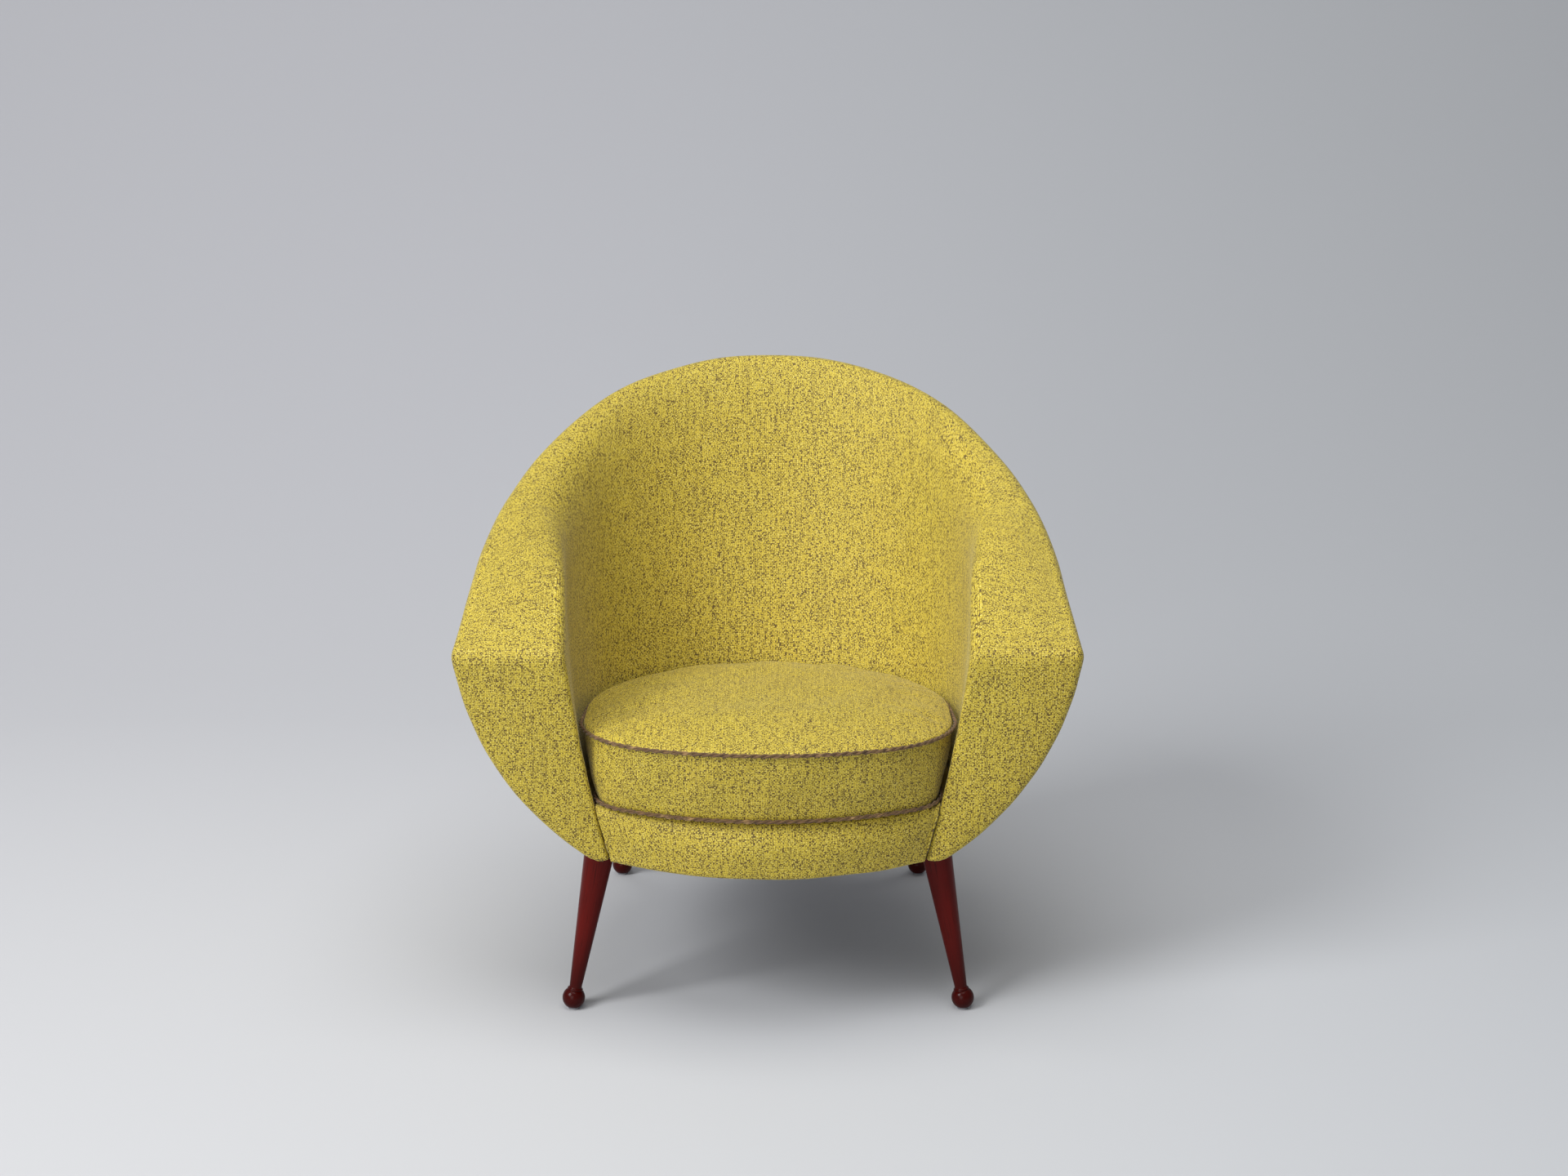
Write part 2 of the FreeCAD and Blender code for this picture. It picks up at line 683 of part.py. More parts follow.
half_rib = size("rib_thickness") / 2
for name, place in (("left_back_rib", -1), ("middle_back_rib", 0), ("right_back_rib", 1)):
    middle = place * size("back_rib_spacing")
    rib(name, (middle - half_rib, 0), (middle + half_rib, size("back_top_reach")))
side = size("ridge_half_width") + overrun
rib("left_side_rib", (-side, -size("side_rib_reach") - half_rib), (0, -size("side_rib_reach") + half_rib))
rib("right_side_rib", (0, -size("side_rib_reach") - half_rib), (side, -size("side_rib_reach") + half_rib))

# Seat webbing: straps from rail to rail, the crosswise ones over the lengthwise ones
strap_side = size("strap_width") / 2
strap_middle = rail_top + size("strap_thickness")
strap_room = well_prism(size("strap_lap"), rail_front - size("strap_lap"), 0, ridge)
lengthwise = []
for number in range(STRAP_COUNT):
    x = (number - (STRAP_COUNT - 1) / 2) * size("strap_pitch")
    strap = block((x - strap_side, -size("apron_bow_reach"), rail_top), (x + strap_side, back_reach, strap_middle))
    lengthwise.append(one_solid(strap.common(strap_room)))
crosswise = []
for number in range(CROSS_STRAP_COUNT):
    y = (number - (CROSS_STRAP_COUNT - 1) / 2) * size("cross_strap_pitch") - size("cross_strap_middle")
    strap = block((-side, y - strap_side, strap_middle), (side, y + strap_side, strap_top))
    crosswise.append(one_solid(strap.common(strap_room)))
add_feature("seat_webbing_lengthwise", Part.makeCompound(lengthwise))
add_feature("seat_webbing_crosswise", Part.makeCompound(crosswise))

# The deck cover over the webbing, tucked under the foot of the padded walls
add_feature("seat_deck_cover", one_solid(space_solid(tuck, inner_seat, inner_seat).common(deck_slab)))

# The dust cover under the frame, with a hole round each leg
margin = size("dust_cover_margin")
dust_foot = underside - size("dust_cover_thickness")
underside_section = shell_section(underside, 0)
dust_outline = underside_section.closed_wire(outer_layers + margin, inner_layers, size("arm_edge_round"), True)
dust_cover = triangle(*dust_outline).extrude(Vector(0, 0, dust_foot - underside))
dust_front = apron_solid(apron_layers + margin, rail_top, rail_front + tuck, STRAIGHT_SHARES)
dust_front.translate(Vector(0, 0, dust_foot - underside))
dust_front = dust_front.common(block((-side, -side, dust_foot), (side, side, underside)))
leg_holes = []
for place, pair in BOLT_ENDS:
    ball, axis = leg_axis(place, pair)
    centre = ball + axis * leg_length(pair)
    radius = size("leg_top_radius") / axis.z + size("dust_cover_leg_gap")
    leg_holes.append(Part.makeCylinder(radius, 2 * overrun, centre - Vector(0, 0, overrun)))
add_feature("dust_cover", one_solid(dust_cover.fuse(dust_front).cut(leg_holes)))


def bind(item, **sizes):
    """Binds an object's properties to expressions of the sheet's cells."""
    for name, expression in sizes.items():
        item.setExpression(name, expression)


def add_part(kind, name, **sizes):
    """Adds an object of a kind to the document, its properties bound to the sheet."""
    item = doc.addObject(kind, name)
    bind(item, **sizes)
    return item


def on_axis(place, pair, along):
    """The placement of a piece on a leg's axis, at a length from the ball's centre."""
    ball, axis = leg_axis(place, pair)
    return Placement(ball + axis * along, Rotation(Vector(0, 0, 1), axis))


def leg_blank(name, place, pair):
    """A turned leg through rings: the ball, the collar, the neck and the straight taper, both ends overlong."""
    ball_radius = size("ball_radius")
    collar_low = math.sqrt(ball_radius ** 2 - size("collar_radius") ** 2)
    rings = []
    for angle in BALL_RING_ANGLES:
        share = math.cos(math.radians(angle))
        rings.append(("Sizes.ball_radius * %.4f" % share, ball_radius * math.sin(math.radians(angle))))
    rings.append(("Sizes.collar_radius", collar_low))
    rings.append(("Sizes.collar_radius", collar_low + size("collar_height")))
    rings.append(("Sizes.leg_neck_radius", size("leg_neck_height")))
    taper = "(Sizes.leg_top_radius - Sizes.leg_neck_radius)"
    spare_share = size("leg_spare_length") / (leg_length(pair) - size("leg_neck_height"))
    top_radius = "Sizes.leg_top_radius + %s * %.4f" % (taper, spare_share)
    rings.append((top_radius, leg_length(pair) + size("leg_spare_length")))
    sections = []
    for number, (radius, along) in enumerate(rings):
        ring = add_part("Part::RegularPolygon", "%s_ring_%d" % (name, number), Circumradius=radius)
        ring.Polygon = LEG_SIDES
        ring.Placement = on_axis(place, pair, along)
        sections.append(ring)
    blank = doc.addObject("Part::Loft", name + "_turning")
    blank.Sections = sections
    blank.Solid = True
    blank.Ruled = True
    return blank


def cylinder(name, placement, radius, height):
    """A cylinder bound to the sheet."""
    item = add_part("Part::Cylinder", name, Radius=radius, Height=height)
    item.Placement = placement
    return item


# The legs stand between the underside and the glides, cut level at both ends
LEG_NAMES = ("front_left", "front_right", "rear_left", "rear_right")
bolts = []
glides = []
for (place, pair), name in zip(BOLT_ENDS, LEG_NAMES):
    standing = add_part(
        "Part::Box",
        name + "_standing",
        Length="2 * Sizes.ridge_half_width",
        Width="4 * Sizes.back_top_reach",
        Height="Sizes.underside_height - Sizes.glide_thickness",
    )
    standing.Placement.Base = Vector(-size("ridge_half_width"), -2 * back_reach, size("glide_thickness"))
    turned = doc.addObject("Part::Common", name + "_turned")
    turned.Base = leg_blank(name, place, pair)
    turned.Tool = standing

    # A bolt in the leg's axis joins the leg to its rail
    bolt_foot = on_axis(place, pair, leg_length(pair) - size("bolt_leg_depth"))
    bore_foot = on_axis(place, pair, leg_length(pair) - size("bolt_leg_depth") - clear)
    both_depths = "Sizes.bolt_leg_depth + Sizes.bolt_rail_depth"
    bolts.append(cylinder(name + "_bolt", bolt_foot, "Sizes.bolt_radius", both_depths))
    bore = cylinder(name + "_bore", bore_foot, "Sizes.bolt_radius + Sizes.bolt_clearance", both_depths)
    leg = doc.addObject("Part::Cut", name + "_leg")
    leg.Base = turned
    leg.Tool = bore
    sub_parts.append(leg)
    foot = leg_axis(place, pair)[0]
    glide_foot = Placement(Vector(foot.x, foot.y, 0), Rotation())
    glides.append(cylinder(name + "_glide", glide_foot, "Sizes.glide_radius", "Sizes.glide_thickness"))

for name, pieces in (("leg_bolts", bolts), ("leg_glides", glides)):
    group = doc.addObject("Part::Compound", name)
    group.Links = pieces
    sub_parts.append(group)

# The loose cushion: a round back, straight sides, rounded corners and a gently curved front
seam_foot = deck_top + clear + size("cushion_belly")
cushion_half = reach_to(space_side, 0, size("cushion_front_height"), 0) + size("cushion_side_spread")
cushion_back = reach_to(space_back, 0, size("cushion_rear_height"), 0) - size("cushion_back_gap")
cushion_length = size("cushion_front_reach") + cushion_back
cushion_tilt = math.atan2(size("cushion_front_height") - size("cushion_rear_height"), cushion_length)
seam_top = size("cushion_front_height") - size("cushion_front_reach") * math.tan(cushion_tilt)


def cushion_outline(foot_share, inset, lift, plain):
    """The cushion's outline between its top seam and its bottom seam, drawn in by inset and lifted."""
    half = cushion_half - foot_share * size("cushion_foot_inset") - inset
    centre = cushion_back - cushion_half - foot_share * size("cushion_foot_shift")
    front_radius = size("cushion_front_radius") - inset
    front = -size("cushion_front_reach") + foot_share * size("cushion_foot_front_inset") + inset
    front_centre = front + front_radius
    turn = centre - size("cushion_side_length")
    back = front_centre - turn
    corner_radius = (front_radius ** 2 - half ** 2 - back ** 2) / (2 * (front_radius - half))
    corner = half - corner_radius
    lean = math.atan2(corner, back)
    quarter = math.pi / 2
    tilt = cushion_tilt * (1 - foot_share)
    height = between(seam_top, seam_foot, foot_share) + lift
    parts = PLAIN_TURN_PARTS if plain else 2
    arcs = []
    for x, y, radius, first, last in (
        (0, centre, half, 0, quarter),
        (0, centre, half, quarter, 2 * quarter),
        (-corner, turn, corner_radius, 2 * quarter, 3 * quarter - lean),
        (0, front_centre, front_radius, 3 * quarter - lean, 3 * quarter + lean),
        (corner, turn, corner_radius, 3 * quarter + lean, 4 * quarter),
    ):
        points = []
        for part in range(parts + 1):
            angle = between(first, last, part / parts)
            run = y + radius * math.sin(angle)
            points.append(Vector(x + radius * math.cos(angle), run * math.cos(tilt), height - run * math.sin(tilt)))
        arcs.append(points)
    loop = []
    edges = []
    for points, following in zip(arcs, arcs[1:] + arcs[:1]):
        straight = (following[0] - points[-1]).Length > clear
        loop += points if straight else points[:-1]
        edges.append(Part.Arc(points[0], points[parts // 2], points[-1]).toShape())
        if straight:
            edges.append(Part.LineSegment(points[-1], following[0]).toShape())
    return loop if plain else Part.Wire(edges)


def cushion_solid(inset, plain=True):
    """The cushion drawn in by inset: a low belly, drawn-in sides that bulge a little, and a crown."""
    outlines = []
    for drawn_share, rise_share in reversed(CROWN_SHARES):
        lift = inset - rise_share * size("cushion_belly")
        outlines.append(cushion_outline(1, inset + drawn_share * cushion_half, lift, plain))
    outlines.append(cushion_outline(1, inset, 0, plain))
    outlines.append(cushion_outline(0.5, inset - size("cushion_boxing_bulge"), 0, plain))
    outlines.append(cushion_outline(0, inset, 0, plain))
    for drawn_share, rise_share in CROWN_SHARES:
        lift = rise_share * size("cushion_crown") - inset
        outlines.append(cushion_outline(0, inset + drawn_share * cushion_half, lift, plain))
    return loft(outlines, 1 if plain else 0)


def piping(foot_share):
    """A piping cord along a seam, just outside the fabric."""
    radius = size("piping_radius")
    path = cushion_outline(foot_share, -radius - size("piping_gap"), 0, False)
    start = path.Edges[0].valueAt(path.Edges[0].FirstParameter)
    along = path.Edges[0].tangentAt(path.Edges[0].FirstParameter)
    out = Vector(1, 0, 0)
    corners = []
    for number in range(PIPING_SIDES + 1):
        angle = (number + 0.5) * 2 * math.pi / PIPING_SIDES
        corners.append(start + out * radius * math.cos(angle) + along.cross(out) * radius * math.sin(angle))
    return path.makePipeShell([Part.makePolygon(corners)], True, False)


cushion_skin = cushion_solid(0, False).cut(cushion_solid(size("cushion_cover_thickness")))
wide = cushion_half + overrun
above_top_seam = Part.makeBox(2 * wide, 2 * wide + overrun, wide)
above_top_seam.translate(Vector(-wide, -wide - overrun, 0))
above_top_seam.rotate(Vector(0, 0, 0), Vector(1, 0, 0), -math.degrees(cushion_tilt))
above_top_seam.translate(Vector(0, 0, seam_top))
below_bottom_seam = block((-wide, -2 * wide, 0), (wide, 2 * wide, seam_foot))
core_inset = size("cushion_cover_thickness") + clear
add_feature("cushion_core", cushion_solid(core_inset))
add_feature("cushion_top_panel", one_solid(cushion_skin.common(above_top_seam)))
add_feature("cushion_boxing", one_solid(cushion_skin.cut([above_top_seam, below_bottom_seam])))
add_feature("cushion_bottom_panel", one_solid(cushion_skin.common(below_bottom_seam)))
add_feature("cushion_top_piping", piping(0))
add_feature("cushion_bottom_piping", piping(1))

doc.recompute()
for item in doc.Objects:
    if {"Invalid", "Error"} & set(item.State):
        raise RuntimeError(item.Label + " failed")
for item in sub_parts:
    if item.Shape.isNull() or not item.Shape.isValid() or not item.Shape.Solids:
        raise RuntimeError(item.Label + " has no valid solid")
os.makedirs("parts", exist_ok=True)
for item in sub_parts:
    item.Shape.exportStep(os.path.join("parts", item.Label + ".step"))
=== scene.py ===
"""Upholstered tub armchair: tweed covers, a loose piped cushion, turned legs, and a pale studio."""
import math

import bmesh
import bpy
import numpy as np
from bpy.props import FloatProperty, FloatVectorProperty, IntProperty, PointerProperty
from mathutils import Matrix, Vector


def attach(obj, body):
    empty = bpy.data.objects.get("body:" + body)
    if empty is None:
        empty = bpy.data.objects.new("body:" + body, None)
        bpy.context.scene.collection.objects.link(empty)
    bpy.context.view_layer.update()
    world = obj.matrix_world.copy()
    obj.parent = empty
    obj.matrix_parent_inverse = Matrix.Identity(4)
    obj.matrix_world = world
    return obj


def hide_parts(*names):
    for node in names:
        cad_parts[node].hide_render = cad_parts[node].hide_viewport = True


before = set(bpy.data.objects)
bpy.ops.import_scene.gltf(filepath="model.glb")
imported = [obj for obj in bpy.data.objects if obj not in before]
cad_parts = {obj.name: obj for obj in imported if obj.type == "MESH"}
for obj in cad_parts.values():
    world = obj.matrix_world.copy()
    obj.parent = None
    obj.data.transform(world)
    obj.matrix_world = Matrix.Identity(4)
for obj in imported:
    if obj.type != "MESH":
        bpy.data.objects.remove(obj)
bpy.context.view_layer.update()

bl_info = {
    "name": "Tub armchair",
    "version": (1, 0, 0),
    "blender": (4, 5, 0),
    "location": "View3D > Sidebar > Armchair",
    "description": "Dresses the tub armchair with tweed covers, a piped cushion, turned legs and a studio",
    "category": "Object",
}

# Sizes of the chair, in metres, as its solids have them. A form's side and back are arcs in section, each
# given by its low end, its high end and how far it bows. The other pairs are values at the underside and at
# the ridge.
ARM_FRONT = -0.2437
UNDERSIDE = 0.217
RIDGE = 0.489
CREST = 0.769
CREST_BACK = 0.3253
DECK_TOP = 0.2891
APRON_BACK = -0.2077
SHELL = {
    "side": ((0.222, UNDERSIDE), (0.3935, RIDGE), 0.035),
    "back": ((0.2693, UNDERSIDE), (CREST_BACK, CREST), 0.010),
    "splay": (-13.0, 6.2),
    "back_share": (0.97, 0.877),
    "side_share": (1.6, 2.24),
}
SPACE = {
    "side": ((0.197, UNDERSIDE), (0.250, RIDGE), 0.005),
    "back": ((0.0953, UNDERSIDE), (0.2908, CREST), 0.006),
    "splay": (-17.0, -3.0),
    "back_share": (0.99, 0.95),
    "side_share": (1.2, 1.4),
}
RIM_SLOPE = (CREST - RIDGE) / (CREST_BACK - ARM_FRONT)
RIM_TILT = math.atan(RIM_SLOPE)
RIM_ROUND = 0.014
RIDGE_ROUND = 0.010
EDGE_ROUND = 0.014
INNER_ROUND = 0.009
SEAM_HEIGHT = 0.461
ROWS_BY_SEAM = (-0.006, -0.003, -0.0012, 0, 0.0012, 0.003, 0.006)
COVER_THICKNESS = 0.0025
WALL_FOLD = 0.004
WALL_TURNED_IN = (0.014, 0.008)
FRONT_SWELL = 0.003

# The rim's inner edge is rounded over from a height on: how far down the wall and across the rim at first
# and at the back, and how wide the rim is where its crown is full
SOFT_RIM_FOOT = 0.53
SOFT_RIM_RISE = 0.16
SOFT_RIM_DOWN = (0.020, 0.150)
SOFT_RIM_ACROSS = (0.016, 0.106)
CROWNED_WIDTH = 0.09

# The apron below the cushion
APRON_FRONT = -0.2477
APRON_BOW = 0.062
APRON_LEAN = 0.009
APRON_LEAN_FOOT = 0.25
APRON_BEND = 0.009
APRON_FOLD = 0.005
APRON_TURNED_IN = (0.016, 0.009)
APRON_END_STEPS = (0.014, 0.008, 0.003)
APRON_GAP = 0.0005

# The loose cushion: its outline at the top seam, the heights of that seam at the front, at the back and in
# the chair's middle, and how much less wide, further forward and less long the bottom seam is
CUSHION_HALF = 0.2365
CUSHION_CENTRE = -0.0937
CUSHION_FRONT = -0.3197
CUSHION_FRONT_RADIUS = 0.400
CUSHION_STRAIGHT = (0.060, 0.105)
SEAM_FRONT = 0.384
SEAM_BACK = 0.3595
CUSHION_TILT = math.atan2(SEAM_FRONT - SEAM_BACK, CUSHION_CENTRE + CUSHION_HALF - CUSHION_FRONT)
SEAM_TOP = SEAM_FRONT + CUSHION_FRONT * math.tan(CUSHION_TILT)
SEAM_FOOT = 0.2941
CUSHION_MIDDLE = np.array([0.0, -0.09])
CUSHION_INSET = 0.0012
FOOT_NARROWER = 0.020
FOOT_FORWARD = 0.008
FOOT_FRONT_IN = 0.012
CROWN_REACH = 0.07
BOTTOM_CROWN = 0.4
BOXING_SWELL = 0.0035

# Its piping, which sinks below the crown at the sides and the back
CORD_RADIUS = 0.0027
CORD_PITCH = 0.025
STRAND_SHARE = 0.56
CORD_BITE = 0.0006
CORD_DROP = 0.0012
SUNK_FROM = -0.17
SUNK_OVER = 0.09
SUNK_IN = 0.012
SUNK_DOWN = 0.003

# How the cushion is filled: size of its even faces, pressure, steps, and the furthest that a point may move
FILL_FACE = 0.006
FILL_PRESSURE = 4.0
FILL_STEPS = 20
PANEL_MOVE = 0.009
BOXING_MOVE = 0.0035
SEAM_HOLD = 0.004
SEAM_DRAW = 0.0038

# How uneven the fabrics lie: the height of the waves, their lengths, and the seed of their directions
TUB_WAVES = ((0.0005, (0.16, 0.13, 0.23), 3), (0.0002, (0.05, 0.08), 5))
APRON_WAVES = ((0.0008, (0.09, 0.14, 0.06), 8),)
CUSHION_WAVES = ((0.0012, (0.12, 0.09, 0.17, 0.06), 17),)

# The turned legs: side, half span and reach of the ball, sideways lean and lean towards the ends, in degrees
LEGS = {
    "front_left_leg": (-1, 0.2515, -0.2047, 10.5, -5.0),
    "front_right_leg": (1, 0.2515, -0.2047, 10.5, -5.0),
    "rear_left_leg": (-1, 0.218, 0.2613, 13.0, 23.5),
    "rear_right_leg": (1, 0.218, 0.2613, 13.0, 23.5),
}
BALL_RADIUS = 0.0146
GLIDE_RADIUS = 0.008
GLIDE_HEIGHT = 0.002
ANKLE_RADIUS = 0.008
ANKLE_HEIGHT = 0.015
COLLAR_RADIUS = 0.0098
BEAD_RING = 0.0086
BEAD_RADIUS = 0.0013
LEG_TOP_RADIUS = 0.020

# The webbing, the deck cloth over it and the dust cover under the frame
STRAP_WIDTH = 0.050
STRAP_PITCH = 0.058
STRAP_MIDDLE = 0.2845
STRAP_FRONT = -0.2440
STRAP_ENDS = (0.1988, 0.2194, 0.2223, 0.2194, 0.1988)
CROSS_HALF = 0.1875
CROSS_PITCH = 0.066
CROSS_MIDDLE = -0.0627
STRAP_THICKNESS = 0.0014
STRAP_WAVE = 0.0009
DECK_THICKNESS = 0.0018
DECK_DROP = 0.0003
DECK_TUCKED_IN = 0.006
DUST_THICKNESS = 0.0008
DUST_INSET = 0.0095
DUST_FRONT_BOW = 0.0692
DUST_FRONT_HALF = 0.183
LEG_HOLE = 0.0235
LEG_LEAN_FROM = 0.0142

# The studio: name, place, aim, size and power of each lamp, the sweep's bend, and the view of the photograph
LAMPS = (
    ("key", (-4.2, -3.3, 4.6), (0, -0.1, 0.3), 2.8, 320),
    ("fill", (-1.4, -4.4, 1.5), (0, 0, 0.4), 2.4, 44),
    ("top", (0.0, -0.7, 3.6), (0.1, -0.4, 0.0), 2.6, 76),
)
WORLD_STRENGTH = 0.25
SWEEP_START = 1.0
SWEEP_BEND = 3.2
CAMERA_PLACE = (0.0204, -3.1262, 1.3505)
CAMERA_DOWN = 15.1
CAMERA_LENS = 56.25


# Surfaces


def lerp(low, high, share):
    """The value at a share of the way from low to high."""
    return low + (high - low) * share


def bowed_arc(low, high, bow):
    """Centre and radius of the arc from low to high that bows outward by bow: r = (c^2 / 4 + b^2) / 2b."""
    run, rise = high[0] - low[0], high[1] - low[1]
    chord = math.hypot(run, rise)
    radius = (chord * chord / 4 + bow * bow) / (2 * bow)
    inward = radius - bow
    middle = ((low[0] + high[0]) / 2, (low[1] + high[1]) / 2)
    return (middle[0] - inward * rise / chord, middle[1] + inward * run / chord), radius


def reach_to(arc, start, height, tilt):
    """How far a ray from (start, height) rising by tilt runs until it meets the arc: -b + sqrt(b^2 - c)."""
    (centre_x, centre_z), radius = arc
    off_x, off_z = start - centre_x, height - centre_z
    along = off_x * np.cos(tilt) + off_z * np.sin(tilt)
    return -along + np.sqrt(along**2 - (off_x**2 + off_z**2 - radius**2))


# Steps in each stretch of a half outline: across the arm front, round its edge, along the arm, round the
# side, and round the back
CHORD, EDGE, ARM, SIDE, BACK = 14, 6, 20, 30, 46
EDGE_END = CHORD + EDGE


class Outline:
    """Half outlines of the shell or the seat space, one for each row of heights.

    A row is a straight arm, a side arc and a back arc, each tangent to the next, in a plane that tilts up
    towards the back. The rows are drawn in by inset at the sides and back, and by front at the arm fronts.
    """

    def __init__(self, form, height, tilt, inset, front, edge):
        self.height, self.tilt, self.inset, self.front, self.edge = (
            np.asarray(value, float).reshape(-1, 1) for value in (height, tilt, inset, front, edge)
        )
        share = (self.height - UNDERSIDE) / (RIDGE - UNDERSIDE)
        width = reach_to(bowed_arc(*form["side"]), 0, self.height, 0)
        depth = reach_to(bowed_arc(*form["back"]), ARM_FRONT, self.height, self.tilt)
        self.splay = np.radians(lerp(*form["splay"], share))
        back_share = lerp(*form["back_share"], share)
        out = (np.cos(self.splay), np.sin(self.splay))
        self.along = (-out[1], out[0])
        arm = width * out[0] - depth * out[1]
        self.back_radius = back_share * arm / (1 - back_share * out[1])
        self.side_radius = lerp(*form["side_share"], share) * self.back_radius
        self.back_centre = depth - self.back_radius
        foot = (width - self.side_radius * out[0], -self.side_radius * out[1] - self.back_centre)
        travel = foot[0] * self.along[0] + foot[1] * self.along[1]
        beyond = foot[0] ** 2 + foot[1] ** 2 - (self.side_radius - self.back_radius) ** 2
        travel = -travel - np.sqrt(travel**2 - beyond)
        self.side_centre = (
            foot[0] + travel * self.along[0],
            foot[1] + self.back_centre + travel * self.along[1],
        )
        self.turn = np.arctan2(self.back_centre - self.side_centre[1], -self.side_centre[0])
        start = (width - self.inset * out[0], -self.inset * out[1])
        self.corner = start[0] + (self.front - start[1]) / self.along[1] * self.along[0]

    def side(self, angle):
        """A point of the side arc: centre + (radius - inset) (cos a, sin a)."""
        radius = self.side_radius - self.inset
        return self.side_centre[0] + radius * np.cos(angle), self.side_centre[1] + radius * np.sin(angle)

    def chord_end(self, rounded_in):
        """Where the arm front's straight middle ends: before a rounded edge, or past a flared one."""
        if rounded_in:
            return self.corner - self.edge * np.tan((np.pi / 2 + self.splay) / 2)
        return self.corner + self.edge

    def half(self, middle, rounded_in):
        """The half outline from the arm front's middle to the middle of the back, as points on a grid."""
        end = self.chord_end(rounded_in)
        q = np.linspace(0, 1, CHORD + 1)[None, :-1]
        stretches = [(lerp(middle, end, q), self.front + 0 * q)]
        q = np.linspace(0, 1, EDGE + 1)[None, :-1]
        if rounded_in:
            tangent = self.corner - end
            arm_start = (self.corner + tangent * self.along[0], self.front + tangent * self.along[1])
            angle = lerp(-np.pi / 2, self.splay, q)
            edge = self.front + self.edge * (1 + np.sin(angle))
            stretches.append((end + self.edge * np.cos(angle), edge))
        else:
            arm_start = (self.corner + self.edge * self.along[0], self.front + self.edge * self.along[1])
            bend = [(1 - q) ** 2, 2 * q * (1 - q), q**2]
            stretches.append((
                bend[0] * end + bend[1] * self.corner + bend[2] * arm_start[0],
                (bend[0] + bend[1]) * self.front + bend[2] * arm_start[1],
            ))
        q = np.concatenate([[0, 0.01, 0.025, 0.045], np.linspace(0.07, 1, ARM - 3)])[None, :-1]
        side_start = self.side(self.splay)
        stretches.append((lerp(arm_start[0], side_start[0], q), lerp(arm_start[1], side_start[1], q)))
        stretches.append(self.side(lerp(self.splay, self.turn, np.linspace(0, 1, SIDE + 1)[None, :-1])))
        angle = lerp(self.turn, np.pi / 2, np.linspace(0, 1, BACK + 1)[None, :])
        radius = self.back_radius - self.inset
        stretches.append((radius * np.cos(angle), self.back_centre + radius * np.sin(angle)))
        x = np.concatenate([part[0] for part in stretches], axis=1)
        run = np.concatenate([part[1] for part in stretches], axis=1)
        x[:, -1] = 0
        y = ARM_FRONT + run * np.cos(self.tilt)
        return np.stack([x, y, self.height + run * np.sin(self.tilt)], axis=2)


def closed_travel(loop):
    """An outline with its first point repeated at its end, and the running length along it."""
    closed = np.vstack([loop, loop[:1]])
    return closed, np.concatenate([[0], np.cumsum(np.linalg.norm(np.diff(closed, axis=0), axis=1))])


def lengths(points, axis):
    """Running length along one axis of a grid of points, from 0."""
    steps = np.linalg.norm(np.diff(points, axis=axis), axis=2)
    first = np.zeros_like(np.take(steps, [0], axis=axis))
    return np.cumsum(np.concatenate([first, steps], axis=axis), axis=axis)


def facing(points):
    """Unit normals of a grid of points: the cross product of its two directions."""
    normal = np.cross(np.gradient(points, axis=1), np.gradient(points, axis=0))
    return normal / np.maximum(np.linalg.norm(normal, axis=2, keepdims=True), 1e-12)


def grid(points, u, v, flip=False):
    """A grid of points and its texture places as vertices, quads and a place for each quad's corner."""
    rows, columns = points.shape[:2]
    number = np.arange(rows * columns).reshape(rows, columns)
    quads = np.stack([number[:-1, :-1], number[:-1, 1:], number[1:, 1:], number[1:, :-1]], axis=2)
    quads = quads.reshape(-1, 4)
    if flip:
        quads = quads[:, ::-1]
    places = np.stack(np.broadcast_arrays(u, v), axis=2).reshape(-1, 2)
    return points.reshape(-1, 3), quads, places[quads]


def mirrored(part):
    """The part's mirror image across the middle of the chair, with its texture running on."""
    points, quads, places = part
    return points * [-1, 1, 1], quads[:, ::-1], places[:, ::-1] * [-1, 1]


def unevenness(points, waves):
    """How far each point lies off the smooth surface: sums of sine waves in random directions."""
    total = np.zeros(len(points))
    for height, wavelengths, seed in waves:
        random = np.random.RandomState(seed)
        for wavelength in wavelengths:
            direction = random.normal(size=3)
            direction *= 2 * np.pi / wavelength / np.linalg.norm(direction)
            wave = np.sin(points @ direction + random.uniform(0, 2 * np.pi))
            total += height / len(wavelengths) ** 0.5 * wave
    return total


def placed(name, data):
    """A new object in the scene."""
    piece = bpy.data.objects.new(name, data)
    bpy.context.scene.collection.objects.link(piece)
    return piece


def mesh_object(name, parts, body, nodes, merge=0.00005):
    """One object from several parts, merged where they meet, with its texture places in metres.

    It rides on a body and replaces the nodes that it stands for.
    """
    points, quads, places, count = [], [], [], 0
    for part in parts:
        points.append(part[0])
        quads.append(part[1] + count)
        places.append(part[2])
        count += len(part[0])
    quads = np.concatenate(quads)
    mesh = bpy.data.meshes.new(name)
    mesh.from_pydata(np.concatenate(points).tolist(), [], quads.tolist())
    layer = mesh.uv_layers.new(name="UVMap")
    layer.data.foreach_set("uv", np.concatenate(places).reshape(-1).astype(np.float32))
    work = bmesh.new()
    work.from_mesh(mesh)
    bmesh.ops.remove_doubles(work, verts=work.verts, dist=merge)
    bmesh.ops.dissolve_degenerate(work, edges=work.edges, dist=merge / 10)
    work.to_mesh(mesh)
    work.free()
    mesh.shade_smooth()
    piece = placed(name, mesh)
    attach(piece, body)
    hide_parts(*nodes)
    return piece


def coordinates(mesh):
    """The mesh's vertices as an array."""
    points = np.empty(len(mesh.vertices) * 3, np.float32)
    mesh.vertices.foreach_get("co", points)
    return points.reshape(-1, 3).astype(float)


